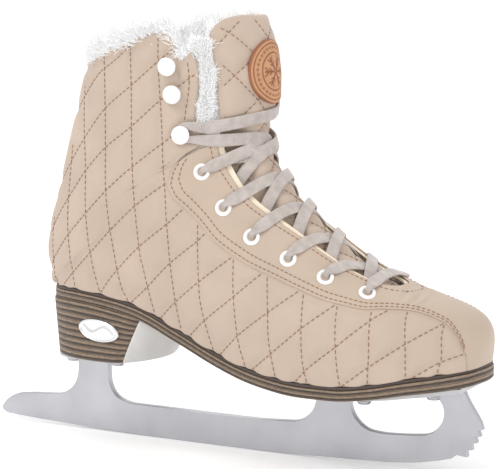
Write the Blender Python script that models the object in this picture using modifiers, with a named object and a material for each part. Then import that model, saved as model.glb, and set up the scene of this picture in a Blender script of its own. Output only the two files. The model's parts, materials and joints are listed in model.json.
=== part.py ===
"""A lined leather figure skate for the right foot, on a screwed steel blade.

The toe points along +X, the wearer's left (medial) side is +Y and the ice is z = 0.
Every length below is in millimetres; MM turns it into Blender's metres.

The boot is drawn as a fan of sections. Each station joins a point on the ridge (toe, instep,
tongue front) to a point on the base (sole edge, then the back of the heel and shaft). `u` counts
stations from the toe to the collar. `v` runs from the ridge (0) over the widest line (0.5) to the
base or back (1), and a signed `v` is negative on the outer (lateral) side.
"""

import math

import bmesh
import bpy
import numpy as np
from mathutils import Matrix, Vector

MM = 0.001
GAP = 0.3
HOLE_SEGMENTS = 10

# The boot's stations: ridge x, ridge z, base x, base z, half width, base half width, middle y,
# how far down the widest line lies, roundness of the upper part, roundness of the lower part.
STATIONS = np.array([
    (145.5, 68.0, 144.5, 58.0, 0.0, 0.0, 5.0, 0.55, 2.2, 2.0),
    (143.8, 76.0, 142.5, 57.5, 13.5, 12.5, 5.0, 0.60, 2.2, 2.0),
    (139.0, 81.5, 137.0, 56.7, 22.0, 20.5, 4.5, 0.62, 2.3, 2.0),
    (130.5, 85.5, 128.0, 55.3, 29.0, 27.5, 4.0, 0.64, 2.3, 2.0),
    (118.0, 89.5, 114.0, 53.0, 34.5, 33.5, 3.0, 0.66, 2.3, 2.0),
    (105.0, 94.0, 98.0, 49.8, 38.0, 37.0, 1.5, 0.68, 2.2, 2.0),
    (92.5, 99.5, 80.0, 47.8, 40.0, 39.0, 0.5, 0.70, 2.2, 2.0),
    (79.0, 107.0, 62.0, 47.8, 40.0, 38.5, 0.0, 0.70, 2.1, 2.0),
    (65.5, 117.0, 44.0, 49.0, 38.0, 35.5, -0.5, 0.68, 2.1, 2.0),
    (53.5, 128.0, 24.0, 52.5, 35.5, 31.5, -1.0, 0.66, 2.1, 2.0),
    (43.0, 138.5, 4.0, 59.0, 33.5, 28.5, -1.0, 0.64, 2.1, 2.0),
    (35.0, 148.0, -16.0, 67.5, 32.5, 27.0, -1.0, 0.60, 2.1, 2.0),
    (29.5, 155.5, -38.0, 77.0, 32.5, 27.5, -0.5, 0.56, 2.1, 2.0),
    (26.5, 161.5, -62.0, 82.0, 33.0, 28.0, 0.0, 0.54, 2.1, 2.1),
    (25.2, 166.0, -84.0, 83.5, 33.5, 24.0, 0.0, 0.53, 2.1, 2.1),
    (24.8, 169.0, -97.0, 83.0, 33.8, 15.0, 0.0, 0.52, 2.1, 2.1),
    (24.6, 171.5, -104.0, 83.0, 34.0, 5.0, 0.0, 0.52, 2.1, 2.1),
    (24.6, 173.5, -106.5, 87.0, 34.3, 0.0, 0.0, 0.52, 2.1, 2.1),
    (24.8, 176.5, -107.8, 100.0, 34.6, 0.0, 0.0, 0.52, 2.1, 2.1),
    (25.3, 180.0, -105.5, 116.0, 34.4, 0.0, 0.0, 0.52, 2.1, 2.1),
    (26.0, 184.0, -101.0, 132.0, 33.6, 0.0, 0.0, 0.52, 2.1, 2.1),
    (26.6, 190.0, -95.5, 152.0, 33.0, 0.0, 0.0, 0.52, 2.1, 2.1),
    (26.6, 198.0, -89.5, 173.0, 33.2, 0.0, 0.0, 0.52, 2.1, 2.1),
    (25.6, 207.0, -84.0, 192.0, 34.0, 0.0, 0.0, 0.52, 2.1, 2.1),
    (23.6, 217.0, -80.0, 207.0, 35.2, 0.0, 0.0, 0.52, 2.1, 2.1),
    (20.5, 229.0, -77.5, 223.0, 36.5, 0.0, 0.0, 0.52, 2.1, 2.1),
    (16.5, 241.0, -75.5, 239.0, 37.5, 0.0, 0.0, 0.52, 2.1, 2.1),
])
LAST_STATION = len(STATIONS) - 1
HEEL_STATION = 16.6      # from here up, the base line runs on the back of the boot
SOLE_TURN = 0.31         # how far the side turns in at the sole, in half turns

# Leather, fleece and tongue layers, as distances inward from the boot's outer face.
LEATHER = 2.0
FLEECE_OUTER = 3.1
FLEECE_INNER = 6.9
TONGUE_LOW_FACE = 3.1    # in the middle of the throat, under the laces
TONGUE_TUCK_FACE = 5.0   # where the tongue passes under the facings
TONGUE_PAD = 4.0
TONGUE_FLEECE = 2.6

# Lines on the boot, as (u, v) pairs.
FACING_EDGE = ((0.0, 0.20), (1.5, 0.20), (2.0, 0.148), (3.0, 0.093), (4.4, 0.075),
               (5.1, 0.050), (5.35, 0.045), (5.6, 0.080), (6.1, 0.110), (7.3, 0.135), (8.6, 0.166),
               (10.0, 0.209), (11.0, 0.237), (12.0, 0.248), (14.5, 0.236), (17.0, 0.236), (18.25, 0.242))
TOE_SEAM = 1.5           # the smooth toe reaches down to the sole as far as here
FACING_SEAM = ((1.5, 0.52), (2.0, 0.37), (3.0, 0.233), (4.0, 0.200),
               (5.0, 0.235), (5.8, 0.278), (6.7, 0.300), (7.5, 0.320), (8.8, 0.355), (10.0, 0.390),
               (11.5, 0.420), (13.3, 0.410), (15.0, 0.395), (17.3, 0.378), (17.9, 0.360), (18.25, 0.315))
QUARTER_EDGE = ((1.56, 0.512), (2.0, 0.376), (3.0, 0.239), (4.0, 0.206), (5.0, 0.241), (5.8, 0.284),
                (6.7, 0.306), (7.5, 0.326), (8.8, 0.361), (10.0, 0.396), (11.5, 0.426), (13.3, 0.416),
                (15.0, 0.401), (17.3, 0.385), (17.9, 0.367), (18.2, 0.346), (18.45, 0.255), (19.0, 0.270),
                (20.0, 0.312), (21.0, 0.329), (22.5, 0.326), (23.4, 0.331), (26.0, 0.345))
COLLAR = ((0.330, 23.40), (0.346, 23.82), (0.365, 23.62), (0.384, 23.47), (0.404, 24.38), (0.430, 24.67),
          (0.478, 24.60), (0.550, 24.40), (0.635, 24.28), (0.738, 24.05), (1.0, 23.85))
FLEECE_EDGE = ((3.0, 0.40), (6.0, 0.27), (7.4, 0.305), (8.7, 0.345), (10.2, 0.385), (11.8, 0.405),
               (14.7, 0.375), (17.5, 0.330), (19.0, 0.300), (20.0, 0.290), (26.0, 0.292))
TONGUE_EDGE = ((4.4, 0.060), (5.1, 0.070), (6.1, 0.125), (7.3, 0.150), (8.6, 0.182), (10.0, 0.225),
               (11.0, 0.252), (12.0, 0.262), (14.5, 0.255), (17.0, 0.245), (19.0, 0.236), (20.0, 0.245),
               (22.0, 0.265), (24.0, 0.275))
TONGUE_TOP = ((0.0, 25.20), (0.10, 25.22), (0.18, 25.10), (0.24, 24.85), (0.275, 24.45))
TONGUE_SPLIT = ((-0.30, 20.05), (0.0, 20.30), (0.10, 20.75), (0.30, 21.25))

# Eyelets and hooks.
EYELETS = ((5.95, 0.191), (7.40, 0.230), (8.73, 0.273), (10.20, 0.314), (11.77, 0.330), (14.70, 0.301))
HOOKS = ((20.02, 0.356), (22.10, 0.401), (23.30, 0.420))
EYELET_RIM = 4.5
EYELET_HOLE = 2.15
EYELET_BARREL = 2.7
HOOK_CAP = 4.9
HOOK_NECK = 1.9
HOOK_CAP_LIFT = 3.6
HOOK_LACE_LIFT = 2.2

# The lace: flat where it crosses, gathered where it turns.
LACE_HALF_WIDTH = 3.3
LACE_HALF_THICKNESS = 0.65
LACE_GATHERED = 1.25
TAIL_LENGTH = 80.0
# Strands over the shaft's front: v from the side they start on (negative) to the other, height, lift.
HOOK_STRAND_IN = ((-0.236, 157.5, -3.3), (-0.16, 158.8, -1.5), (-0.08, 160.5, 0.1), (0.0, 162.5, 0.9),
                  (0.08, 164.3, 1.1), (0.16, 166.5, 1.2), (0.25, 169.5, 1.3))
HOOK_STRAND_OUT = ((-0.236, 158.5, -3.3), (-0.16, 160.5, -2.0), (-0.08, 163.5, -1.5), (0.0, 166.5, -1.3),
                   (0.08, 167.8, -0.9), (0.16, 167.3, 0.2), (0.25, 166.8, 1.3))
HOOK_STRAND_TOP = ((-0.28, 173.5, 1.4), (-0.20, 175.5, 1.3), (-0.12, 177.5, 1.3), (-0.04, 179.0, 1.3),
                   (0.04, 180.5, 1.3), (0.12, 183.0, 1.3), (0.20, 186.5, 1.3), (0.30, 191.5, 1.3))
TIP_RADIUS = 1.3
TIP_LENGTH = 18.0

# Tongue patch.
PATCH_CENTRE_Z = 201.5
PATCH_RADIUS = 16.5
PATCH_THICKNESS = 1.4
SHAFT_FRONT_RADIUS = 28.0

# Sole and heel.
INSOLE_BOARD = 2.0
FOOTBED = 5.0
MIDSOLE = 1.2
MIDSOLE_DROP = 0.7
SOLE_MARGIN = 1.5
SOLE_THICKNESS = 5.0
TOE_EXTRA = 1.5          # the sole is a little thicker at the toe
HEEL_BOTTOM = 45.5
HEEL_SEAT_GAP = 0.7
HEEL_BACK_TOP = -105.5
HEEL_BACK_BOTTOM = -102.0
HEEL_HALF_WIDTH_TOP = 29.5
HEEL_HALF_WIDTH_BOTTOM = 30.5
BREAST_TOP_X = -38.0
BREAST_BOTTOM_X = -49.0
BREAST_BULGE_TOP = 16.0
BREAST_BULGE_BOTTOM = 11.0
BADGE_X = -62.5
BADGE_Z = 62.5
BADGE_LENGTH = 26.0
BADGE_HEIGHT = 12.0
BADGE_THICKNESS = 1.0
BADGE_TILT = 7.0

# Blade and mounting plates.
BLADE_THICKNESS = 4.0
ROCKER_RADIUS = 2300.0
ROCKER_CENTRE_X = -20.0
PLATE_THICKNESS = 2.4
HEEL_PLATE = (-99.0, -54.0, 19.0)       # rear x, front x, half width
SOLE_PLATE = (44.0, 139.0, 24.0)
SCREW_SHANK = 1.9
SCREW_HEAD = 3.8
HEEL_SCREW_LENGTH = 14.0
SOLE_SCREW_LENGTH = 6.5
HEEL_SCREWS = ((-90.0, 12.5), (-61.0, 13.0))
SOLE_SCREWS = ((56.0, 17.0), (88.0, 17.0), (124.0, 13.0))

# The free top of the tongue folds about this line across the boot.
TONGUE_FOLD = (26.2, 0.0, 185.7)
TONGUE_FOLD_NODES = ("tongue_upper", "tongue_upper_fleece", "tongue_patch")

# Colour, roughness and metallic value, by the start of a node's name.
FINISHES = (
    ("quarter", (0.62, 0.45, 0.33), 0.60, 0.0),
    ("vamp", (0.64, 0.44, 0.29), 0.50, 0.0),
    ("boot_fleece", (0.88, 0.87, 0.85), 0.95, 0.0),
    ("tongue_lower_fleece", (0.88, 0.87, 0.85), 0.95, 0.0),
    ("tongue_upper_fleece", (0.88, 0.87, 0.85), 0.95, 0.0),
    ("tongue_patch", (0.62, 0.30, 0.14), 0.55, 0.0),
    ("tongue", (0.62, 0.45, 0.33), 0.60, 0.0),
    ("eyelet", (0.90, 0.90, 0.89), 0.25, 0.0),
    ("hook", (0.90, 0.90, 0.89), 0.25, 0.0),
    ("lace_tip", (0.75, 0.72, 0.68), 0.30, 0.0),
    ("lace", (0.50, 0.44, 0.39), 0.85, 0.0),
    ("insole_board", (0.35, 0.25, 0.17), 0.90, 0.0),
    ("footbed", (0.80, 0.78, 0.74), 0.90, 0.0),
    ("midsole", (0.10, 0.07, 0.05), 0.60, 0.0),
    ("outsole", (0.22, 0.15, 0.11), 0.50, 0.0),
    ("heel_block", (0.22, 0.15, 0.11), 0.50, 0.0),
    ("heel_breast", (0.56, 0.55, 0.54), 0.45, 0.0),
    ("heel_badge", (0.72, 0.72, 0.72), 0.25, 1.0),
    ("", (0.40, 0.40, 0.41), 0.35, 1.0),
)


def clear_scene():
    """Empties the scene and makes one collection for the skate and one for its cutters."""
    for obj in list(bpy.data.objects):
        bpy.data.objects.remove(obj)
    for name in ("figure_skate", "cutters"):
        bpy.context.scene.collection.children.link(bpy.data.collections.new(name))


def finish_for(name):
    """A node's own material."""
    colour, roughness, metallic = next(rest for start, *rest in FINISHES if name.startswith(start))
    material = bpy.data.materials.new(name)
    material.use_nodes = True
    shader = material.node_tree.nodes["Principled BSDF"]
    shader.inputs["Base Color"].default_value = (*colour, 1.0)
    shader.inputs["Roughness"].default_value = roughness
    shader.inputs["Metallic"].default_value = metallic
    return material


def add_object(name, data, collection="figure_skate"):
    """Puts a mesh or curve in a collection under its node's name."""
    obj = bpy.data.objects.new(name, data)
    bpy.data.collections[collection].objects.link(obj)
    if collection == "figure_skate":
        data.materials.append(finish_for(name))
    else:
        obj.hide_render = True
        obj.display_type = "WIRE"
    return obj


def smooth_column(u, column, flat_start=False):
    """A smooth value between the stations, with no overshoot."""
    values = STATIONS[:, column]
    steps = np.diff(values)
    slopes = np.gradient(values)
    for i in range(1, LAST_STATION):
        if steps[i - 1] * steps[i] <= 0:
            slopes[i] = 0.0
        else:
            slopes[i] = math.copysign(min(abs(slopes[i]), 3 * abs(steps[i - 1]), 3 * abs(steps[i])), steps[i])
    if flat_start:
        slopes[0] = 0.0
    u = np.clip(u, 0, LAST_STATION)
    i = np.minimum(u.astype(int), LAST_STATION - 1)
    t = u - i
    return ((2 * t**3 - 3 * t**2 + 1) * values[i] + (t**3 - 2 * t**2 + t) * slopes[i]
            + (3 * t**2 - 2 * t**3) * values[i + 1] + (t**3 - t**2) * slopes[i + 1])


def boot_face(u, v, side):
    """Points on the boot's outer face, for v from 0 to 1 on one side (+1 medial, -1 lateral)."""
    ridge_x = smooth_column(u, 0, True)
    ridge_z = smooth_column(u, 1)
    base_x = smooth_column(u, 2, True)
    base_z = smooth_column(u, 3)
    width, base_width, middle, widest, upper, lower = (smooth_column(u, k) for k in range(4, 10))
    upper_angle = np.clip(v, 0, 0.5) * math.pi
    closing = np.clip((u - 14.0) / (HEEL_STATION - 14.0), 0, 1)
    last_angle = math.pi * (SOLE_TURN + (0.5 - SOLE_TURN) * closing * closing * (3 - 2 * closing))
    lower_angle = np.clip(v - 0.5, 0, 0.5) * 2 * last_angle
    share_up = widest * (1 - np.abs(np.cos(upper_angle)) ** (2 / upper))
    share_down = widest + (1 - widest) * (np.sin(lower_angle) / np.sin(last_angle)) ** (2 / lower)
    half_up = width * np.sin(upper_angle) ** (2 / upper)
    tuck = 1 - (1 - np.cos(lower_angle)) / (1 - np.cos(last_angle))
    half_down = base_width + (width - base_width) * np.clip(tuck, 0, 1) ** (2 / lower)
    share = np.where(v <= 0.5, share_up, share_down)
    half = np.where(v <= 0.5, half_up, half_down)
    return np.stack([ridge_x + (base_x - ridge_x) * share, middle + side * half,
                     ridge_z + (base_z - ridge_z) * share], -1)


def boot_normal(u, v, side):
    """The boot's outward direction, with no sideways part where its two sides meet."""
    step = 1e-3
    v_in = np.clip(v, 0.012, 0.988)
    u_in = np.clip(u, 0.05, LAST_STATION - 0.01)
    along = boot_face(u_in + step, v_in, side) - boot_face(u_in - step, v_in, side)
    down = boot_face(u_in, v_in + step, side) - boot_face(u_in, v_in - step, side)
    normal = np.cross(down, along) * side[..., None]
    closing = np.where(u > HEEL_STATION - 0.1, np.clip((1 - v) / 0.012, 0, 1), 1.0)
    normal[..., 1] *= np.clip(v / 0.012, 0, 1) * np.clip(u / 0.3, 0, 1) * closing
    return normal / np.linalg.norm(normal, axis=-1, keepdims=True)


def boot_point(u, signed_v, offset=0.0):
    """Points at `offset` millimetres outside the boot's face."""
    u, signed_v, offset = np.broadcast_arrays(*(np.asarray(a, float) for a in (u, signed_v, offset)))
    side = np.where(signed_v < 0, -1.0, 1.0)
    v = np.abs(signed_v)
    return boot_face(u, v, side) + boot_normal(u, v, side) * offset[..., None]


def boot_uv(x, z):
    """The station and unsigned v of a side-view point, found by halving between the section lines."""
    x, z = np.broadcast_arrays(np.asarray(x, float), np.asarray(z, float))
    low = np.zeros(x.shape)
    high = np.full(x.shape, float(LAST_STATION))
    for _ in range(40):
        u = 0.5 * (low + high)
        ridge_x, ridge_z = smooth_column(u, 0, True), smooth_column(u, 1)
        base_x, base_z = smooth_column(u, 2, True), smooth_column(u, 3)
        turn = (base_x - ridge_x) * (z - ridge_z) - (base_z - ridge_z) * (x - ridge_x)
        low = np.where(turn < 0, u, low)
        high = np.where(turn < 0, high, u)
    v_low, v_high = np.zeros(x.shape), np.ones(x.shape)
    down_x, down_z = base_x - ridge_x, base_z - ridge_z
    share = ((x - ridge_x) * down_x + (z - ridge_z) * down_z) / (down_x**2 + down_z**2)
    side = np.ones(x.shape)
    for _ in range(40):
        v = 0.5 * (v_low + v_high)
        point = boot_face(u, v, side)
        along = (point[..., 0] - ridge_x) * down_x + (point[..., 2] - ridge_z) * down_z
        reached = along / (down_x**2 + down_z**2)
        v_low = np.where(reached < share, v, v_low)
        v_high = np.where(reached < share, v_high, v)
    return u, v


def u_at_height(z, v):
    """The station at which the line `v` reaches a height, on the shaft's front."""
    low, high = 12.0, LAST_STATION - 0.01
    for _ in range(40):
        u = 0.5 * (low + high)
        low, high = (u, high) if boot_face(np.array(u), np.array(abs(v)), np.array(1.0))[2] < z else (low, u)
    return u


def on_line(line, at):
    """The value of a (key, value) line at `at`."""
    keys, values = zip(*line)
    return np.interp(at, keys, values)


def rows(*spans):
    """Row positions from (start, end, steps) spans that follow on from each other."""
    values = [np.linspace(start, end, steps, endpoint=False) for start, end, steps in spans]
    return np.append(np.concatenate(values), spans[-1][1])


SEAM_ROWS = rows((2.0, 5.1, 4), (5.1, 5.35, 1), (5.35, 5.6, 1), (5.6, 6.1, 1), (6.1, 12.0, 7), (12.0, 17.3, 6))


def make_node(name, points, faces):
    """One closed solid from points in millimetres."""
    mesh = bpy.data.meshes.new(name)
    mesh.from_pydata([tuple(p) for p in np.asarray(points) * MM], [], [tuple(f) for f in faces])
    work = bmesh.new()
    work.from_mesh(mesh)
    bmesh.ops.remove_doubles(work, verts=work.verts, dist=1e-7)
    bmesh.ops.delete(work, geom=[v for v in work.verts if not v.link_faces], context="VERTS")
    bmesh.ops.triangulate(work, faces=[f for f in work.faces if len(f.verts) > 4])
    bmesh.ops.recalc_face_normals(work, faces=work.faces)
    work.to_mesh(mesh)
    work.free()
    return add_object(name, mesh)


def skin(name, u, signed_v, outer, inner, keep=None, lift=None):
    """A closed panel of the boot: its grid at `outer` and at `inner`, walled along the open edges."""
    row_count, column_count = u.shape
    outer_points = boot_point(u, signed_v, outer).reshape(-1, 3)
    inner_points = boot_point(u, signed_v, inner).reshape(-1, 3)
    if lift is not None:
        outer_points = lift(outer_points)
        inner_points = lift(inner_points)
    welded = {}
    index = [welded.setdefault(tuple(np.round(p, 4)), i) for i, p in enumerate(outer_points)]
    quads = []
    for i in range(row_count - 1):
        for j in range(column_count - 1):
            if keep is None or keep[i, j]:
                corners = [i * column_count + j, i * column_count + j + 1,
                           (i + 1) * column_count + j + 1, (i + 1) * column_count + j]
                quad = list(dict.fromkeys(index[c] for c in corners))
                if len(quad) > 2:
                    quads.append(quad)
    return make_node(name, np.concatenate([outer_points, inner_points]), closed_faces(quads, len(outer_points)))


def closed_faces(quads, offset):
    """The quads, their copies `offset` further on, and a wall along every open edge."""
    directed = {(a, b) for quad in quads for a, b in zip(quad, quad[1:] + quad[:1])}
    faces = [list(quad) for quad in quads]
    faces += [[c + offset for c in reversed(quad)] for quad in quads]
    faces += [[b, a, a + offset, b + offset] for a, b in directed if (b, a) not in directed]
    return faces


def loft(name, rings):
    """A solid through closed rings of the same count, capped at both ends."""
    count = len(rings[0])
    faces = [list(range(count)), [len(rings) * count - 1 - i for i in range(count)]]
    for r in range(len(rings) - 1):
        for i in range(count):
            j = (i + 1) % count
            faces.append([r * count + i, r * count + j, (r + 1) * count + j, (r + 1) * count + i])
    return make_node(name, np.concatenate(rings), faces)


def lathe(name, profile, centre, axis, segments):
    """A turned solid: a (radius, height) profile, run down its outer side, turned about `axis`."""
    mesh = bpy.data.meshes.new(name)
    count = len(profile)
    on_axis = profile[0][0] == 0
    edges = [(i, (i + 1) % count) for i in range(count - 1 if on_axis else count)]
    mesh.from_pydata([(radius * MM, 0.0, height * MM) for radius, height in profile], edges, [])
    obj = add_object(name, mesh)
    obj.location = Vector(centre) * MM
    obj.rotation_mode = "QUATERNION"
    obj.rotation_quaternion = Vector(axis).to_track_quat("Z", "Y")
    turn = obj.modifiers.new("turn", "SCREW")
    turn.steps = segments
    turn.render_steps = segments
    turn.use_merge_vertices = True
    turn.merge_threshold = 1e-6
    return obj


def drill(obj, name, centres, axes, radius, depth):
    """Round holes of `radius`, `depth` either way along each axis, cut by one hidden cutter."""
    work = bmesh.new()
    for centre, axis in zip(centres, axes):
        turn = Vector(axis).to_track_quat("Z", "Y").to_matrix().to_4x4()
        place = Matrix.Translation(Vector(centre) * MM) @ turn
        bmesh.ops.create_cone(work, cap_ends=True, segments=HOLE_SEGMENTS, radius1=radius * MM,
                              radius2=radius * MM, depth=2 * depth * MM, matrix=place)
    mesh = bpy.data.meshes.new(name)
    work.to_mesh(mesh)
    work.free()
    cut = obj.modifiers.new("holes", "BOOLEAN")
    cut.operation = "DIFFERENCE"
    cut.solver = "EXACT"
    cut.object = add_object(name, mesh, "cutters")


def eyelet_places():
    """Centre and outward direction of each eyelet, lateral row then medial row."""
    return [(side, row, *place_on_boot(u, side * v)) for side in (-1, 1) for row, (u, v) in enumerate(EYELETS)]


def hook_places():
    return [(side, row, *place_on_boot(u, side * v)) for side in (-1, 1) for row, (u, v) in enumerate(HOOKS)]


def place_on_boot(u, signed_v):
    centre = boot_point(u, signed_v)
    return centre, boot_point(u, signed_v, 1.0) - centre


def side_name(side):
    return "lateral" if side < 0 else "medial"


def vamp_facing():
    """The smooth toe and its two facings, one piece around the throat."""
    u = np.concatenate([(0.0, 0.25, 0.5, 1.0, TOE_SEAM), SEAM_ROWS, (17.9, 18.25)])
    half = np.array([0.0, 0.5, 1.0, 1.34, 1.67, 2.0, 2.5, 3.0])
    column = np.concatenate([-half[:0:-1], half])
    size = np.abs(column)[None, :]
    edge = on_line(FACING_EDGE, u)[:, None]
    seam = on_line(FACING_SEAM, u)[:, None]
    foot = np.where(u <= TOE_SEAM, 1.0, on_line(FACING_SEAM, u))[:, None]
    v = np.where(size <= 1, size * edge, edge + (seam - edge) * (size - 1))
    v = np.where(size > 2, seam + (foot - seam) * (size - 2), v)
    middle = 0.5 * (size[:, 1:] + size[:, :-1])
    row = u[:-1, None]
    keep = ((row < 5.3) | (middle > 1)) & ((row < TOE_SEAM) | (middle < 2))
    u_grid = np.repeat(u[:, None], len(column), 1)
    panel = skin("vamp_facing", u_grid, v * np.sign(column), 0.0, -LEATHER, keep)
    centres, axes = zip(*[(centre, axis) for _, _, centre, axis in eyelet_places()])
    drill(panel, "eyelet_holes", centres, axes, EYELET_BARREL + GAP, 4.0)
    return panel


def quarter(side):
    """One quilted side of the boot, from the toe seam to the back seam and up to the collar."""
    u = np.concatenate([(TOE_SEAM + 0.06,), SEAM_ROWS, (17.9, 18.2, 18.45, 19.5, 20.5, 21.5, 22.5, 23.4)])
    share = np.array([0.0, 0.03, 0.08, 0.12, 0.22, 0.38, 0.55, 0.72, 0.87, 1.0])
    edge = on_line(QUARTER_EDGE, u)[:, None]
    v = edge + (1 - edge) * share[None, :]
    u_grid = np.repeat(u[:, None], len(share), 1)
    top_v = 0.334 + (1 - 0.334) * share
    top_u = on_line(COLLAR, top_v)
    below_top = np.minimum(23.4 + (top_u - 23.4) * 0.5, top_u - 0.03)
    u_grid[-1] = np.minimum(u_grid[-1], below_top)
    u_grid = np.vstack([u_grid, top_u])
    v = np.vstack([v, top_v])

    def split_at_back(points):
        points = points.copy()
        points[:, 1] = side * np.maximum(side * points[:, 1], GAP / 2)
        return points

    panel = skin(f"quarter_{side_name(side)}", u_grid, side * v, 0.0, -LEATHER, lift=split_at_back)
    places = [(centre, axis) for hook_side, _, centre, axis in hook_places() if hook_side == side]
    drill(panel, f"hook_holes_{side_name(side)}", *zip(*places), HOOK_NECK + GAP, 4.0)
    return panel


def boot_fleece():
    """The fleece lining: one sheet around the back, standing proud of the collar."""
    u = rows((3.0, 12.0, 8), (12.0, 17.0, 4), (17.0, 18.2, 1), (18.2, 23.0, 4), (23.0, 25.0, 2))
    share = np.array([0.0, 0.06, 0.14, 0.3, 0.5, 0.72, 0.88, 1.0])
    edge = on_line(FLEECE_EDGE, u)[:, None]
    foot = np.where(u < 18.0, 0.82, 1.0)[:, None]
    half = edge + (foot - edge) * share[None, :]
    top = np.clip((u - 23.0) / 2.0, 0, 1)[:, None]
    top_u = np.interp(half, (0.29, 0.36, 0.45, 0.75, 1.0), (24.0, 24.5, 25.1, 24.8, 24.6))
    u_grid = np.repeat(u[:, None], len(share), 1)
    u_grid = u_grid + (top_u - 25.0) * top
    u_grid = np.hstack([u_grid, u_grid[:, ::-1]])
    signed_v = np.hstack([-half, half[:, ::-1]])
    keep = np.ones((len(u) - 1, signed_v.shape[1] - 1), bool)
    keep[:, len(share) - 1] = False
    return skin("boot_fleece", u_grid, signed_v, -FLEECE_OUTER, -FLEECE_INNER, keep)


def tongue_face(u, v):
    """How far the tongue's front face lies inside the boot's: level with it above the laces."""
    tucked = np.clip((v / on_line(TONGUE_EDGE, u) - 0.45) / 0.3, 0, 1)
    low = TONGUE_LOW_FACE + (TONGUE_TUCK_FACE - TONGUE_LOW_FACE) * tucked
    return low * np.clip((19.6 - u) / 1.6, 0, 1) + 0.2


def tongue_grid(u, top=False):
    share = np.array([-1.0, -0.72, -0.4, 0.0, 0.4, 0.72, 1.0])
    signed_v = on_line(TONGUE_EDGE, u)[:, None] * share[None, :]
    return np.repeat(u[:, None], len(share), 1), signed_v


def tongue_lower():
    """The laced part of the tongue, a quilted pad with its fleece behind."""
    u = rows((4.4, 6.1, 2), (6.1, 12.0, 5), (12.0, 18.0, 3), (18.0, 20.0, 3))
    u_grid, signed_v = tongue_grid(u)
    u_grid[-1] = on_line(TONGUE_SPLIT, signed_v[-1])
    face = tongue_face(u_grid, np.abs(signed_v))
    skin("tongue_lower", u_grid, signed_v, -face, -face - TONGUE_PAD)
    back = face + TONGUE_PAD + 3 * GAP
    skin("tongue_lower_fleece", u_grid, signed_v, -back, -back - TONGUE_FLEECE)


def tongue_upper():
    """The free top of the tongue, which folds forward to let the foot in."""
    u = rows((20.5, 24.0, 4), (24.0, 25.2, 2))
    u_grid, signed_v = tongue_grid(u)
    split = on_line(TONGUE_SPLIT, signed_v[0]) + 0.14
    top = on_line(TONGUE_TOP, np.abs(signed_v[-1]))
    share = ((u - u[0]) / (u[-1] - u[0]))[:, None]
    u_grid = split[None, :] + (top - split)[None, :] * share
    face = tongue_face(u_grid, np.abs(signed_v))
    skin("tongue_upper", u_grid, signed_v, -face, -face - TONGUE_PAD)
    back = face + TONGUE_PAD + 3 * GAP
    skin("tongue_upper_fleece", u_grid, signed_v, -back, -back - TONGUE_FLEECE)


def shaft_front_place(y, z):
    """The station and signed v of a point on the tongue's front, found by halving."""
    low, high = 18.0, LAST_STATION - 0.01
    for _ in range(40):
        u = 0.5 * (low + high)
        width = smooth_column(np.array(u), 4)
        upper = smooth_column(np.array(u), 8)
        signed_v = math.copysign(math.asin(min(abs(y) / width, 0.99) ** (upper / 2)) / math.pi, y)
        if boot_point(u, signed_v)[2] < z:
            low = u
        else:
            high = u
    return u, signed_v


def tongue_patch():
    """The round leather patch on the tongue, bent to its front."""
    spokes = 20
    places = [shaft_front_place(0.0, PATCH_CENTRE_Z)]
    for radius in (0.5, 1.0):
        for k in range(spokes):
            angle = 2 * math.pi * k / spokes
            across = radius * PATCH_RADIUS * math.cos(angle)
            y = SHAFT_FRONT_RADIUS * math.sin(across / SHAFT_FRONT_RADIUS)
            places.append(shaft_front_place(y, PATCH_CENTRE_Z + radius * PATCH_RADIUS * math.sin(angle)))
    u, signed_v = (np.array(values) for values in zip(*places))
    faces = [[0, 1 + k, 1 + (k + 1) % spokes] for k in range(spokes)]
    for k in range(spokes):
        j = (k + 1) % spokes
        faces.append([1 + k, 1 + spokes + k, 1 + spokes + j, 1 + j])
    back = boot_point(u, signed_v, 2 * GAP)
    front = boot_point(u, signed_v, 2 * GAP + PATCH_THICKNESS)
    return make_node("tongue_patch", np.concatenate([front, back]), closed_faces(faces, len(u)))


def eyelets():
    profile = [(EYELET_HOLE, 0.7), (EYELET_HOLE + 0.6, 1.2), (EYELET_RIM - 0.7, 1.2), (EYELET_RIM, 0.5),
               (EYELET_BARREL, 0.4), (EYELET_BARREL, -LEATHER - 0.7), (EYELET_RIM - 0.9, -LEATHER - 0.9),
               (EYELET_RIM - 0.9, -LEATHER - 1.4), (EYELET_HOLE, -LEATHER - 1.4)]
    for side, row, centre, axis in eyelet_places():
        lathe(f"eyelet_{side_name(side)}_{row + 1}", profile, centre, axis, 12)


def hooks():
    profile = [(0.0, HOOK_CAP_LIFT + 1.8), (HOOK_CAP - 0.5, HOOK_CAP_LIFT + 1.2),
               (HOOK_CAP, HOOK_CAP_LIFT + 0.3), (HOOK_NECK, HOOK_CAP_LIFT), (HOOK_NECK, 0.8),
               (HOOK_CAP - 1.0, 0.8), (HOOK_CAP - 1.0, 0.3),
               (HOOK_NECK, 0.3), (HOOK_NECK, -1.8), (0.0, -1.8)]
    for side, row, centre, axis in hook_places():
        lathe(f"hook_{side_name(side)}_{row + 1}", profile, centre, axis, 14)


def sole_outline(margin):
    """The sole's edge, lateral toe to heel and back along the medial side: x, y and the sole's top z."""
    u = rows((0.0, 2.0, 5), (2.0, 13.0, 15), (13.0, 16.0, 4), (16.0, 16.95, 3))
    half = smooth_column(u, 5)
    middle = smooth_column(u, 6)
    x = smooth_column(u, 2, True)
    lateral = np.stack([x, middle - half, x], -1)
    medial = np.stack([x, middle + half, x], -1)[::-1]
    outline = np.concatenate([lateral, medial[:-1]])
    centre_x = 0.5 * (x.min() + x.max())
    outline[:, 0] = centre_x + (outline[:, 0] - centre_x) * (1 + margin / (x.max() - centre_x))
    outline[:, 1] *= 1 + margin / half.max()
    outline[:, 2] = sole_top_z(outline[:, 0])
    return outline


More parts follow.
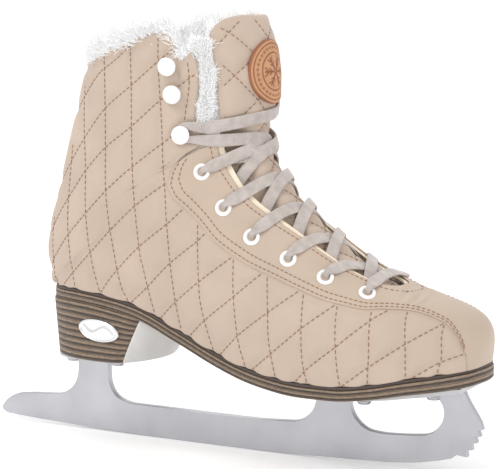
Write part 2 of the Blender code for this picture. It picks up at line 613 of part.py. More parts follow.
def sole_top_z(x):
    """Height of the line where the boot meets its sole; level behind the heel."""
    u = np.linspace(0, 15.8, 400)
    return np.interp(x, smooth_column(u, 2, True)[::-1], smooth_column(u, 3)[::-1])


def sole_thickness(x):
    return SOLE_THICKNESS + TOE_EXTRA * np.clip((x - 90.0) / 45.0, 0, 1)


def sole_layer(name, margin, top, bottom):
    """A layer that follows the sole's edge, between two drops below its top line."""
    outline = sole_outline(margin)
    count = len(outline)
    above, below = outline.copy(), outline.copy()
    above[:, 2] += top if np.isscalar(top) else top(outline[:, 0])
    below[:, 2] += bottom if np.isscalar(bottom) else bottom(outline[:, 0])
    half = (count + 1) // 2
    strip = [[0, 1, count - 1]]
    for i in range(1, half - 1):
        strip.append([i, i + 1, count - 1 - i, count - i])
    return make_node(name, np.concatenate([above, below]), closed_faces(strip, count))


def outsole_bottom(x):
    return -MIDSOLE_DROP - MIDSOLE - GAP - sole_thickness(x)


def sole_bottom_z(x):
    """Height of the outsole's underside at `x`."""
    return sole_top_z(x) + outsole_bottom(np.asarray(x, float))


def soles():
    sole_layer("insole_board", -LEATHER - 4.0, GAP + INSOLE_BOARD, GAP)
    sole_layer("footbed", -FLEECE_INNER - 3.0, 2 * GAP + INSOLE_BOARD + FOOTBED, 2 * GAP + INSOLE_BOARD)
    sole_layer("midsole", SOLE_MARGIN - 0.7, -MIDSOLE_DROP, -MIDSOLE_DROP - MIDSOLE)
    outsole = sole_layer("outsole", SOLE_MARGIN, -MIDSOLE_DROP - MIDSOLE - GAP, outsole_bottom)
    places = [(x, side * y) for x, y in SOLE_SCREWS for side in (-1, 1)]
    centres = [np.array([x, y, sole_bottom_z(x)]) for x, y in places]
    drill(outsole, "sole_screw_holes", centres, [(0, 0, 1)] * len(centres), SCREW_SHANK + GAP, 4.3)


def heel_ring(height):
    """The heel's plan at a share of its height: the back, the sides and the flat front edge."""
    back = HEEL_BACK_BOTTOM + (HEEL_BACK_TOP - HEEL_BACK_BOTTOM) * height
    half = HEEL_HALF_WIDTH_BOTTOM + (HEEL_HALF_WIDTH_TOP - HEEL_HALF_WIDTH_BOTTOM) * height
    front = BREAST_BOTTOM_X + (BREAST_TOP_X - BREAST_BOTTOM_X) * height
    widest = -62.0
    ring = [(front, -half + 3.0), (front - 4.0, -half + 0.5), (front - 9.0, -half)]
    for k in range(11):
        angle = math.pi * k / 10
        ring.append((widest - (widest - back) * math.sin(angle) ** 0.9, -half * math.cos(angle)))
    ring += [(front - 9.0, half), (front - 4.0, half - 0.5), (front, half - 3.0)]
    return np.array(ring)


def heel_rings(inset=0.0):
    for share in (0.0, 0.5, 1.0):
        ring = heel_ring(share)
        top = sole_bottom_z(ring[:, 0]) - HEEL_SEAT_GAP
        z = HEEL_BOTTOM + (top - HEEL_BOTTOM) * share
        yield np.column_stack([ring, z])


def heel_block():
    block = loft("heel_block", list(heel_rings()))
    centres = [np.array([x, side * y, HEEL_BOTTOM]) for x, y in HEEL_SCREWS for side in (-1, 1)]
    drill(block, "heel_screw_holes", centres, [(0, 0, 1)] * len(centres), SCREW_SHANK + GAP, 13.0)


def heel_breast():
    """The grey cover that rounds off the heel's front."""
    rings = []
    for share in (0.0, 0.5, 1.0):
        front = BREAST_BOTTOM_X + (BREAST_TOP_X - BREAST_BOTTOM_X) * share + GAP
        bulge = BREAST_BULGE_BOTTOM + (BREAST_BULGE_TOP - BREAST_BULGE_BOTTOM) * share
        half = HEEL_HALF_WIDTH_BOTTOM - 3.2
        across = np.linspace(-half, half, 9)
        arc = [(front + 0.8 + bulge * (1 - (y / half) ** 2), y) for y in across]
        ring = np.array([(front, half), (front, -half)] + arc)
        top = sole_bottom_z(ring[:, 0]) - HEEL_SEAT_GAP
        z = HEEL_BOTTOM + (top - HEEL_BOTTOM) * share
        rings.append(np.column_stack([ring, z]))
    return loft("heel_breast", rings)


def heel_side_y(x, z):
    """How far out the heel's side wall lies at a height, on the lateral side."""
    share = (z - HEEL_BOTTOM) / (sole_bottom_z(x) - HEEL_SEAT_GAP - HEEL_BOTTOM)
    ring = heel_ring(share)
    lateral = ring[:9]
    order = np.argsort(lateral[:, 0])
    return np.interp(x, lateral[order, 0], lateral[order, 1])


def heel_badge():
    """The oval metal badge on the heel's outer side."""
    tilt = math.radians(BADGE_TILT)
    spokes = 20
    rings = []
    for lift in (GAP + BADGE_THICKNESS, GAP):
        ring = []
        for k in range(spokes):
            angle = 2 * math.pi * k / spokes
            along = 0.5 * BADGE_LENGTH * math.cos(angle)
            up = 0.5 * BADGE_HEIGHT * math.sin(angle)
            x = BADGE_X + along * math.cos(tilt) + up * math.sin(tilt)
            z = BADGE_Z - along * math.sin(tilt) + up * math.cos(tilt)
            ring.append((x, heel_side_y(x, z) - lift, z))
        rings.append(np.array(ring))
    return loft("heel_badge", rings)


def rocker(x):
    """Height of the blade's edge above the ice, with a tighter curve towards the toe."""
    return (x - ROCKER_CENTRE_X) ** 2 / (2 * ROCKER_RADIUS) + np.maximum(x - 95.0, 0) ** 2 / 300.0


def blade_outline():
    """The blade's side outline: edge, toe picks, two toe legs, the bridge and the heel leg."""
    edge_x = (-143.0, -120.0, -85.0, -50.0, -20.0, 10.0, 40.0, 75.0, 95.0, 106.0, 116.0, 124.0, 130.0)
    edge = [(x, rocker(x)) for x in edge_x]
    picks = [(131.5, 11.0), (137.8, 10.4), (137.4, 14.0), (140.6, 14.4), (140.0, 17.8), (143.0, 18.3),
             (142.0, 21.4), (144.8, 21.8), (143.6, 24.6), (146.0, 25.4)]
    toe_leg = [(145.0, 28.8), (142.6, 32.6), (139.6, 37.0), (137.0, 41.5)]
    plate_line = [(135.5, None), (118.0, None)]
    window = [(121.6, 39.6), (124.6, 35.8), (125.4, 31.5), (124.4, 26.8), (121.0, 22.4), (116.0, 19.6),
              (106.0, 18.4), (92.0, 17.6), (83.0, 18.4), (77.6, 21.8), (74.0, 26.8), (72.8, 32.0), (73.4, 36.2)]
    ball_top = [(75.5, None), (51.5, None)]
    bridge = [(53.4, 35.5), (53.6, 31.0), (51.8, 25.6), (47.6, 21.2), (42.0, 18.6), (20.0, 17.2), (-30.0, 17.2),
              (-62.0, 17.4), (-70.0, 20.6), (-73.8, 27.0), (-74.2, 38.0)]
    under_heel_plate = HEEL_BOTTOM - PLATE_THICKNESS - 2 * GAP
    heel_top = [(-72.5, under_heel_plate), (-95.5, under_heel_plate)]
    tail = [(-93.8, 38.0), (-94.0, 31.0), (-96.0, 25.0), (-100.5, 20.6), (-106.5, 18.0), (-124.0, 16.8),
            (-136.0, 15.4), (-142.5, 11.4), (-145.4, 7.8), (-146.0, 5.6)]
    outline = edge + picks + toe_leg + plate_line + window + ball_top + bridge + heel_top + tail
    plate_clearance = PLATE_THICKNESS + 2 * GAP
    points = [(x, float(sole_bottom_z(x)) - plate_clearance if z is None else z) for x, z in outline]
    return points


def blade():
    """The blade, a flat outline stood on its edge."""
    outline = blade_outline()
    curve = bpy.data.curves.new("blade", "CURVE")
    curve.dimensions = "2D"
    curve.fill_mode = "BOTH"
    curve.extrude = BLADE_THICKNESS / 2 * MM
    spline = curve.splines.new("POLY")
    spline.points.add(len(outline) - 1)
    for point, (x, z) in zip(spline.points, outline):
        point.co = (x * MM, z * MM, 0.0, 1.0)
    spline.use_cyclic_u = True
    obj = add_object("blade", curve)
    obj.rotation_euler = (math.pi / 2, 0.0, 0.0)


def plate(name, span, drop_z, screws):
    """A mounting plate under the sole or heel, bent to it and drilled for its screws."""
    rear, front, half = span
    x = np.linspace(rear, front, 9)
    share = (x - rear) / (front - rear)
    width = half * (1 - 0.35 * np.abs(2 * share - 1) ** 3)
    upper = drop_z(x)
    rings = []
    for x_k, width_k, z_k in zip(x, width, upper):
        rings.append(np.array([(x_k, -width_k, z_k), (x_k, width_k, z_k),
                               (x_k, width_k, z_k - PLATE_THICKNESS), (x_k, -width_k, z_k - PLATE_THICKNESS)]))
    body = loft(name, rings)
    places = [(sx, side * sy) for sx, sy in screws for side in (-1, 1)]
    centres = [np.array([sx, sy, float(drop_z(sx))]) for sx, sy in places]
    drill(body, f"{name}_holes", centres, [(0, 0, 1)] * len(centres), SCREW_SHANK + GAP, 6.0)


def screws(prefix, places, drop_z, length):
    """Pan-head screws driven up through a plate."""
    names = [f"{prefix}_screw_{side_name(side)}_{i + 1}" for i in range(len(places)) for side in (-1, 1)]
    spots = [(x, side * y) for x, y in places for side in (-1, 1)]
    for name, (x, y) in zip(names, spots):
        under = float(drop_z(x)) - PLATE_THICKNESS - GAP
        slope = float(drop_z(x + 2.0) - drop_z(x - 2.0)) / 4.0
        clear = under - abs(slope) * SCREW_HEAD
        profile = [(0.0, length), (SCREW_SHANK, length - 1.5), (SCREW_SHANK, 0.0), (SCREW_HEAD, 0.0),
                   (SCREW_HEAD, -0.6), (SCREW_HEAD - 0.8, -1.8), (0.0, -1.8)]
        lathe(name, profile, np.array([x, y, clear]), (0.0, 0.0, 1.0), 10)


def heel_plate_z(x):
    return np.full_like(np.asarray(x, float), HEEL_BOTTOM - GAP)


def sole_plate_z(x):
    return sole_bottom_z(x) - GAP


def lace_step(points, u, signed_v, offset, half_width, half_thickness, facing):
    """Adds one control point of the lace; `facing` is +1 or -1 for the strap's outward side."""
    centre = boot_point(u, signed_v, offset)
    normal = boot_point(u, signed_v, offset + 1.0) - centre
    points.append((centre, normal * facing, half_width, half_thickness))


def lace_crossing(points, start, end, facing, over, start_side):
    """From under one facing, across the tongue, to the top of the other facing."""
    (u0, v0), (u1, v1) = start, end
    edge0 = on_line(FACING_EDGE, u0)
    edge1 = on_line(FACING_EDGE, u1)
    flat = (LACE_HALF_WIDTH, LACE_HALF_THICKNESS)
    lift = 1.0 if over else 0.0

    def at(signed_share):
        """Station and signed v, for a share from -1 (start edge) to 1 (end edge)."""
        t = 0.5 + 0.5 * signed_share
        share_v = edge0 if signed_share < 0 else edge1
        return u0 + (u1 - u0) * (0.16 + 0.68 * t), start_side * -signed_share * share_v

    u, v = at(-1.0)
    lace_step(points, u, v, -3.4, *flat, facing)
    for share, offset in ((-0.6, -2.0 + 0.5 * lift), (-0.22, -1.3 + 1.7 * lift), (0.22, -1.3 + 1.7 * lift),
                          (0.6, -0.1 + 0.6 * lift), (0.92, 1.3)):
        u, v = at(share)
        lace_step(points, u, v, offset, *flat, facing)
    u = u1 - (u1 - u0) * 0.07
    lace_step(points, u, -start_side * (edge1 + 0.45 * (v1 - edge1)), 1.7, *flat, facing)


def lace_eyelet(points, place, side, facing):
    """Down through an eyelet and back towards the throat beneath the facing."""
    u, v = place
    centre, normal = place_on_boot(u, side * v)
    edge = on_line(FACING_EDGE, u)
    inward = boot_point(u, side * (v - 0.02)) - centre
    inward /= np.linalg.norm(inward)
    round_lace = (LACE_GATHERED, LACE_GATHERED)
    points.append((centre + normal * 2.7 + inward * 2.6, normal * facing, 1.9, 0.95))
    points.append((centre + normal * 2.0 + inward * 0.6, (normal - inward) * facing, *round_lace))
    points.append((centre - normal * 0.6, -inward * facing, *round_lace))
    points.append((centre - normal * 4.4 + inward * 0.3, (-inward - normal) * facing, *round_lace))
    points.append((centre - normal * 5.2 + inward * 2.2, -normal * facing, 1.9, 0.95))
    middle_v = 0.5 * (v + edge)
    lace_step(points, u + 0.05, side * middle_v, -3.9, LACE_HALF_WIDTH, LACE_HALF_THICKNESS, -facing)


def lace_route():
    """Control points of the one lace, from one tucked end to the other through both eyelet rows."""
    first = lace_half(-1)
    second = lace_half(1)
    bar = []
    for share in (-0.9, -0.3, 0.3, 0.9):
        lace_step(bar, EYELETS[0][0] + 0.05, share * 0.14, 1.6, LACE_HALF_WIDTH, LACE_HALF_THICKNESS, 1)
    return first[::-1] + bar + second


def lace_half(side):
    """One half of the lace: the toe eyelet on `side`, then crossing over at every row to the hooks."""
    points = []
    facing = 1
    for row, place in enumerate(EYELETS):
        lace_eyelet(points, place, side, facing)
        facing = -facing
        if row + 1 < len(EYELETS):
            lace_crossing(points, place, EYELETS[row + 1], facing, side < 0, side)
            side = -side
    if side < 0:
        lace_strand(points, HOOK_STRAND_IN, side, facing)
        around_hook(points, 0, -side, facing, 90.0, -70.0)
        lace_tail(points, 0, -side, facing)
    else:
        lace_strand(points, HOOK_STRAND_OUT, side, facing)
        around_hook(points, 0, -side, facing, -90.0, 90.0)
        lace_strand(points, HOOK_STRAND_TOP, -side, facing)
        around_hook(points, 1, side, facing, 90.0, -70.0)
        lace_tail(points, 1, side, facing)
    return points


def lace_strand(points, strand, side, facing):
    """A strand across the shaft's front from `side`, given by its heights."""
    for v, z, offset in strand:
        lace_step(points, u_at_height(z, v), side * -v, offset, LACE_HALF_WIDTH, LACE_HALF_THICKNESS, facing)


def around_hook(points, hook, side, facing, start, end):
    """The gathered lace around a hook's neck; angles run from below (-90) over the back (0) to above (90)."""
    centre, normal = place_on_boot(HOOKS[hook][0], side * HOOKS[hook][1])
    back = boot_point(HOOKS[hook][0], side * (HOOKS[hook][1] + 0.02)) - centre
    back /= np.linalg.norm(back)
    up = np.cross(normal, back) * side
    reach = HOOK_NECK + LACE_GATHERED + 0.35
    if abs(start) == 90.0:
        points.append((centre + normal * HOOK_LACE_LIFT - back * 3.6 + up * math.copysign(reach + 0.3, start),
                       normal * facing, 1.9, 0.8))
    for angle in np.linspace(start, end, 7):
        turn = math.radians(angle)
        points.append((centre + normal * HOOK_LACE_LIFT + (back * math.cos(turn) + up * math.sin(turn)) * reach,
                       normal * facing, LACE_GATHERED, 1.05))
    if abs(end) == 90.0:
        points.append((centre + normal * HOOK_LACE_LIFT - back * 3.6 + up * math.copysign(reach + 0.3, end),
                       normal * facing, 1.9, 0.8))


def lace_tail(points, hook, side, facing):
    """The free end, hanging down the inner side of the boot below its hook."""
    start = boot_point(*HOOKS[hook])
    for drop, lift, half_width in ((8.0, 2.0, 2.2), (16.0, 1.6, 2.9), (28.0, 1.4, 3.3), (42.0, 1.4, 3.3),
                                   (56.0, 1.4, 3.3), (70.0, 1.4, 3.3), (TAIL_LENGTH, 1.4, 1.6)):
        u, v = boot_uv(start[0] - 4.0 - 0.1 * drop, start[2] - drop)
        lace_step(points, float(u), side * float(v), lift, half_width, LACE_HALF_THICKNESS, facing)


def lace():
    """The lace and its two stiff tips."""
    route = lace_route()
    sweep("lace", route)
    for number, (end, before) in enumerate(((route[0], route[1]), (route[-1], route[-2]))):
        direction = end[0] - before[0]
        direction /= np.linalg.norm(direction)
        profile = [(0.0, TIP_LENGTH), (TIP_RADIUS, TIP_LENGTH), (TIP_RADIUS, GAP), (0.0, GAP)]
        lathe(f"lace_tip_{number + 1}", profile, end[0], direction, 8)


def sweep(name, controls):
    """A strap along control points, each with its outward direction and half sizes."""
    places = np.array([c[0] for c in controls])
    normals = np.array([c[1] / np.linalg.norm(c[1]) for c in controls])
    sizes = np.array([(c[2], c[3]) for c in controls])
    tangents = np.gradient(places, axis=0)
    rings = []
    for place, normal, tangent, (half_width, half_thickness) in zip(places, normals, tangents, sizes):
        tangent = tangent / np.linalg.norm(tangent)
        normal = normal - tangent * np.dot(normal, tangent)
        normal /= np.linalg.norm(normal)
        across = np.cross(tangent, normal)
        corners = ((-1, 0), (-0.75, -1), (0.75, -1), (1, 0), (0.75, 1), (-0.75, 1))
        wide = across * half_width
        deep = normal * half_thickness
        rings.append(np.array([place + wide * a + deep * b for a, b in corners]))
    return loft(name, rings)


def hang_tongue_top():
    """Parents the tongue's free top to an empty on the line that it folds about."""
    fold = bpy.data.objects.new("tongue_fold", None)
    fold.location = Vector(TONGUE_FOLD) * MM
    bpy.data.collections["figure_skate"].objects.link(fold)
    bpy.context.view_layer.update()
    for name in TONGUE_FOLD_NODES:
        piece = bpy.data.objects[name]
        piece.parent = fold
        piece.matrix_parent_inverse = fold.matrix_world.inverted()


def build():
    clear_scene()
    vamp_facing()
    for side in (-1, 1):
        quarter(side)
    boot_fleece()
    tongue_lower()
    tongue_upper()
    tongue_patch()
    eyelets()
    hooks()
    lace()
    soles()
    heel_block()
    heel_breast()
    heel_badge()
    plate("heel_plate", HEEL_PLATE, heel_plate_z, HEEL_SCREWS)
    plate("sole_plate", SOLE_PLATE, sole_plate_z, SOLE_SCREWS)
    screws("heel", HEEL_SCREWS, heel_plate_z, HEEL_SCREW_LENGTH)
    screws("sole", SOLE_SCREWS, sole_plate_z, SOLE_SCREW_LENGTH)
    blade()
    hang_tongue_top()


build()
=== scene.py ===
"""Looks of a lined leather figure skate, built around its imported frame.

Lengths are in millimetres and MM turns them into Blender's metres. The boot is the same fan of
sections as in the CAD: `u` counts stations from the toe to the collar, `v` runs from the ridge (0)
to the base or back (1), and a signed `v` is negative on the outer (lateral) side.
"""

import json
import math

import bpy
import numpy as np
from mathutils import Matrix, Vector, kdtree

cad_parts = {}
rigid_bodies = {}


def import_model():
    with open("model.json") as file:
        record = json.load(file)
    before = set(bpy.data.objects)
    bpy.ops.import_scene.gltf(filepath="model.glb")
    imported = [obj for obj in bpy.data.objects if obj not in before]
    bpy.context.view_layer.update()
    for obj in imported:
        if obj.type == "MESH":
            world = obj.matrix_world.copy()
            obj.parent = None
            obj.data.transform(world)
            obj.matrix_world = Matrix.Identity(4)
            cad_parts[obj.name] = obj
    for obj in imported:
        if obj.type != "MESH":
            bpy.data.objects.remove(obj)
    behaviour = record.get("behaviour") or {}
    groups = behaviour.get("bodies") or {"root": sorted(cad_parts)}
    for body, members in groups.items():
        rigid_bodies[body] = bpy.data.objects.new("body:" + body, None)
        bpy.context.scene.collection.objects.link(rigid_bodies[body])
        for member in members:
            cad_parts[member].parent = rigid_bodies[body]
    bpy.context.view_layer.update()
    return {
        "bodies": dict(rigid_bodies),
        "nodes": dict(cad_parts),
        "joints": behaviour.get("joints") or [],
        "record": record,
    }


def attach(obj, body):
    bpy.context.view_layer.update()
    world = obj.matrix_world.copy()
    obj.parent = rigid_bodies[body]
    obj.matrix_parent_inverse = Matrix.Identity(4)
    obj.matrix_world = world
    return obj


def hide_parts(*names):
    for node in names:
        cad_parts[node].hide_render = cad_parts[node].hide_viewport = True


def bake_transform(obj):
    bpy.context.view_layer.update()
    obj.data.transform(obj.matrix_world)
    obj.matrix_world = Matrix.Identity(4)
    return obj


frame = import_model()

MM = 0.001
SKATE = "skate"
FLAP = "tongue_flap"
SIDES = ((-1, "lateral"), (1, "medial"))
random = np.random.default_rng(7)

# ---------------------------------------------------------------- the boot's shape, as in the CAD

# Ridge x, ridge z, base x, base z, half width, base half width, middle y, how far down the widest
# line lies, roundness of the upper part, roundness of the lower part.
STATIONS = np.array([
    (145.5, 68.0, 144.5, 58.0, 0.0, 0.0, 5.0, 0.55, 2.2, 2.0),
    (143.8, 76.0, 142.5, 57.5, 13.5, 12.5, 5.0, 0.60, 2.2, 2.0),
    (139.0, 81.5, 137.0, 56.7, 22.0, 20.5, 4.5, 0.62, 2.3, 2.0),
    (130.5, 85.5, 128.0, 55.3, 29.0, 27.5, 4.0, 0.64, 2.3, 2.0),
    (118.0, 89.5, 114.0, 53.0, 34.5, 33.5, 3.0, 0.66, 2.3, 2.0),
    (105.0, 94.0, 98.0, 49.8, 38.0, 37.0, 1.5, 0.68, 2.2, 2.0),
    (92.5, 99.5, 80.0, 47.8, 40.0, 39.0, 0.5, 0.70, 2.2, 2.0),
    (79.0, 107.0, 62.0, 47.8, 40.0, 38.5, 0.0, 0.70, 2.1, 2.0),
    (65.5, 117.0, 44.0, 49.0, 38.0, 35.5, -0.5, 0.68, 2.1, 2.0),
    (53.5, 128.0, 24.0, 52.5, 35.5, 31.5, -1.0, 0.66, 2.1, 2.0),
    (43.0, 138.5, 4.0, 59.0, 33.5, 28.5, -1.0, 0.64, 2.1, 2.0),
    (35.0, 148.0, -16.0, 67.5, 32.5, 27.0, -1.0, 0.60, 2.1, 2.0),
    (29.5, 155.5, -38.0, 77.0, 32.5, 27.5, -0.5, 0.56, 2.1, 2.0),
    (26.5, 161.5, -62.0, 82.0, 33.0, 28.0, 0.0, 0.54, 2.1, 2.1),
    (25.2, 166.0, -84.0, 83.5, 33.5, 24.0, 0.0, 0.53, 2.1, 2.1),
    (24.8, 169.0, -97.0, 83.0, 33.8, 15.0, 0.0, 0.52, 2.1, 2.1),
    (24.6, 171.5, -104.0, 83.0, 34.0, 5.0, 0.0, 0.52, 2.1, 2.1),
    (24.6, 173.5, -106.5, 87.0, 34.3, 0.0, 0.0, 0.52, 2.1, 2.1),
    (24.8, 176.5, -107.8, 100.0, 34.6, 0.0, 0.0, 0.52, 2.1, 2.1),
    (25.3, 180.0, -105.5, 116.0, 34.4, 0.0, 0.0, 0.52, 2.1, 2.1),
    (26.0, 184.0, -101.0, 132.0, 33.6, 0.0, 0.0, 0.52, 2.1, 2.1),
    (26.6, 190.0, -95.5, 152.0, 33.0, 0.0, 0.0, 0.52, 2.1, 2.1),
    (26.6, 198.0, -89.5, 173.0, 33.2, 0.0, 0.0, 0.52, 2.1, 2.1),
    (25.6, 207.0, -84.0, 192.0, 34.0, 0.0, 0.0, 0.52, 2.1, 2.1),
    (23.6, 217.0, -80.0, 207.0, 35.2, 0.0, 0.0, 0.52, 2.1, 2.1),
    (20.5, 229.0, -77.5, 223.0, 36.5, 0.0, 0.0, 0.52, 2.1, 2.1),
    (16.5, 241.0, -75.5, 239.0, 37.5, 0.0, 0.0, 0.52, 2.1, 2.1),
])
LAST_STATION = len(STATIONS) - 1
HEEL_STATION = 16.6
SOLE_TURN = 0.31

# Layers of the upper, as distances inward from the boot's outer face.
LEATHER = 2.0
FLEECE_OUTER = 3.1
FLEECE_INNER = 6.9
TONGUE_LOW_FACE = 3.1
TONGUE_TUCK_FACE = 5.0
TONGUE_PAD = 4.0
TONGUE_FLEECE = 2.6
TONGUE_TUFTS = 9000
GAP = 0.3

# Lines on the boot as (u, v) pairs.
THROAT_END = 5.2
FACING_TOP = 18.05       # where the quarter's edge leaves the facing
QUARTER_TUCK = 0.006     # how far the quarter reaches in under it
FACING_EDGE = ((0.0, 0.20), (1.5, 0.20), (2.0, 0.148), (3.0, 0.093), (4.4, 0.050), (5.0, 0.016), (5.2, 0.004),
               (5.23, 0.022), (5.3, 0.045), (5.45, 0.068), (5.7, 0.090), (6.1, 0.110), (7.3, 0.135),
               (8.6, 0.166), (10.0, 0.209), (11.0, 0.237), (12.0, 0.248), (14.5, 0.236), (17.0, 0.236),
               (18.25, 0.242))
TOE_SEAM = 1.5
FACING_SEAM = ((1.5, 0.52), (2.0, 0.37), (3.0, 0.233), (4.0, 0.200),
               (5.0, 0.235), (5.8, 0.278), (6.7, 0.300), (7.5, 0.320), (8.8, 0.355), (10.0, 0.390),
               (11.5, 0.420), (13.3, 0.410), (15.0, 0.395), (17.3, 0.378), (17.9, 0.360), (18.25, 0.315))
QUARTER_FRONT = ((17.9, 0.367), (18.2, 0.346), (18.45, 0.255), (19.0, 0.270), (20.0, 0.312), (21.0, 0.329),
                 (22.5, 0.326), (23.4, 0.331), (26.0, 0.345))
COLLAR = ((0.330, 23.40), (0.346, 23.82), (0.365, 23.62), (0.384, 23.47), (0.404, 24.38), (0.430, 24.67),
          (0.478, 24.60), (0.550, 24.40), (0.635, 24.28), (0.738, 24.05), (1.0, 23.85))
FLEECE_EDGE = ((3.0, 0.40), (6.0, 0.27), (7.4, 0.305), (8.7, 0.345), (10.2, 0.385), (11.8, 0.405),
               (14.7, 0.375), (17.5, 0.330), (19.0, 0.300), (20.0, 0.290), (26.0, 0.292))
TONGUE_EDGE = ((4.4, 0.060), (5.1, 0.070), (6.1, 0.125), (7.3, 0.150), (8.6, 0.182), (10.0, 0.225),
               (11.0, 0.252), (12.0, 0.262), (14.5, 0.255), (17.0, 0.245), (19.0, 0.236), (20.0, 0.245),
               (22.0, 0.265), (24.0, 0.275))
TONGUE_TOP = ((0.0, 25.20), (0.10, 25.22), (0.18, 25.10), (0.24, 24.85), (0.275, 24.45))

# Eyelets and hooks.
EYELETS = ((5.95, 0.191), (7.40, 0.230), (8.73, 0.273), (10.20, 0.314), (11.77, 0.330), (14.70, 0.301))
HOOKS = ((20.02, 0.356), (22.10, 0.401), (23.30, 0.420))
EYELET_RIM = 4.5
EYELET_HOLE = 2.15
EYELET_BARREL = 2.7
HOOK_CAP = 4.9
HOOK_NECK = 1.9
HOOK_CAP_LIFT = 3.6
HOOK_LACE_LIFT = 2.2

# Quilt seams in side view, as (x, z) points: the steep ones, then those that rise to the front.
STEEP_SEAMS = (
    ((-98, 125), (-98, 90)),
    ((-83, 131), (-82, 110), (-81, 95), (-80, 86)),
    ((-73, 169), (-70, 148), (-68, 122), (-66, 101), (-62, 82)),
    ((-57, 204), (-56, 165), (-55, 144), (-52, 115), (-48, 88), (-45, 80)),
    ((-38, 217), (-39, 173), (-38, 152), (-35, 109), (-33, 98), (-30, 83)),
    ((-21, 222), (-22, 197), (-20, 151), (-17, 109), (-14, 83)),
    ((0, 122), (1, 95), (2, 82), (7, 62)),
    ((21, 109), (22, 90), (25, 66), (28, 54)),
    ((41, 100), (43, 83), (44, 68), (47, 51)),
    ((62, 90), (63, 75), (64, 60), (66, 49)),
    ((80, 88), (82, 69), (83, 57), (84, 50)),
    ((97, 87), (99, 68), (98, 51)),
    ((113, 86), (116, 71), (116, 55)),
    ((131, 79), (132, 66), (130, 57)),
)
RISING_SEAMS = (
    ((-73, 189), (-61, 200), (-49, 207), (-35, 217)),
    ((-76, 161), (-68, 170), (-56, 182), (-39, 194), (-22, 207)),
    ((-82, 134), (-70, 148), (-56, 161), (-39, 173), (-23, 186), (-5, 199)),
    ((-90, 105), (-82, 113), (-68, 126), (-54, 139), (-38, 152), (-15, 169)),
    ((-81, 92), (-66, 105), (-52, 118), (-36, 132), (-19, 144)),
    ((-61, 84), (-51, 95), (-35, 110), (-18, 123), (-9, 131)),
    ((-43, 79), (-32, 88), (-17, 102), (0, 115), (3, 118)),
    ((-25, 72), (-14, 82), (1, 94), (20, 108)),
    ((-4, 67), (4, 74), (22, 88), (34, 98)),
    ((16, 60), (27, 70), (43, 82), (58, 93)),
    ((35, 53), (45, 61), (63, 76), (76, 86)),
    ((62, 51), (68, 57), (83, 69), (98, 82), (105, 87)),
    ((87, 50), (100, 60), (117, 72), (131, 81)),
    ((120, 55), (131, 62), (141, 66)),
)
SEAM_REACH = 30.0        # seams run on past their ends to the panel's border
QUILT_PUFF = 1.45
QUILT_SOFTNESS = 3.2     # how far from a seam the padding has risen by two thirds
STITCH_PITCH = 3.0
STITCH_LENGTH = 2.1
STITCH_RADIUS = 0.25

# Tongue quilting: diamonds across the arc `a` and the length along the tongue.
TONGUE_CROSSING = (-24.0, 201.9)
TONGUE_DIAMOND = 22.5
TONGUE_RISE = 0.65
TONGUE_FALL = -1.05

# Cloth simulation of the tongue's padding, run at ten millimetres to the unit.
CLOTH_SCALE = 0.1
CLOTH_PRESSURE = 12.0
CLOTH_FRAMES = 18
CLOTH_CAP = 2.0

# Tongue patch.
PATCH_CENTRE_Z = 201.5
PATCH_RADIUS = 16.5
PATCH_THICKNESS = 1.6
PATCH_ROUNDING = 0.9
SHAFT_FRONT_RADIUS = 28.0

# Lace.
LACE_HALF_WIDTH = 3.3
LACE_HALF_THICKNESS = 0.65
LACE_GATHERED = 1.25
TAIL_LENGTH = 80.0
LACE_RIBS = 7
HOOK_STRAND_IN = ((-0.236, 157.5, -3.3), (-0.16, 158.8, -1.5), (-0.08, 160.5, 0.1), (0.0, 162.5, 0.9),
                  (0.08, 164.3, 1.1), (0.16, 166.5, 1.2), (0.25, 169.5, 1.3))
HOOK_STRAND_OUT = ((-0.236, 158.5, -3.3), (-0.16, 160.5, -2.0), (-0.08, 163.5, -1.5), (0.0, 166.5, -1.3),
                   (0.08, 167.8, -0.9), (0.16, 167.3, 0.2), (0.25, 166.8, 1.3))
HOOK_STRAND_TOP = ((-0.28, 173.5, 1.4), (-0.20, 175.5, 1.3), (-0.12, 177.5, 1.3), (-0.04, 179.0, 1.3),
                   (0.04, 180.5, 1.3), (0.12, 183.0, 1.3), (0.20, 186.5, 1.3), (0.30, 191.5, 1.3))
TIP_RADIUS = 1.3
TIP_LENGTH = 18.0

# Sole and heel.
MIDSOLE = 1.2
MIDSOLE_DROP = 0.7
SOLE_MARGIN = 1.5
SOLE_THICKNESS = 5.0
TOE_EXTRA = 1.5
SOLE_LAYERS = 4
HEEL_LAYERS = 18
HEEL_BOTTOM = 45.5
HEEL_SEAT_GAP = 0.7
HEEL_BACK_TOP = -105.5
HEEL_BACK_BOTTOM = -102.0
HEEL_HALF_WIDTH_TOP = 29.5
HEEL_HALF_WIDTH_BOTTOM = 30.5
HEEL_WIDEST_X = -62.0
BREAST_TOP_X = -38.0
BREAST_BOTTOM_X = -49.0
BREAST_BULGE_TOP = 16.0
BREAST_BULGE_BOTTOM = 11.0
BADGE_X = -62.5
BADGE_Z = 62.5
BADGE_LENGTH = 26.0
BADGE_HEIGHT = 12.0
BADGE_TILT = 7.0

# Blade.
BLADE_THICKNESS = 4.0
BLADE_BEVEL = 0.35
ROCKER_RADIUS = 2300.0
ROCKER_CENTRE_X = -20.0
PLATE_THICKNESS = 2.4


def station_slopes(column):
    """Slopes at the stations that let a smooth value pass through them with no overshoot."""
    values = STATIONS[:, column]
    steps = np.diff(values)
    slopes = np.gradient(values)
    for i in range(1, LAST_STATION):
        if steps[i - 1] * steps[i] <= 0:
            slopes[i] = 0.0
        else:
            slopes[i] = math.copysign(min(abs(slopes[i]), 3 * abs(steps[i - 1]), 3 * abs(steps[i])), steps[i])
    return slopes


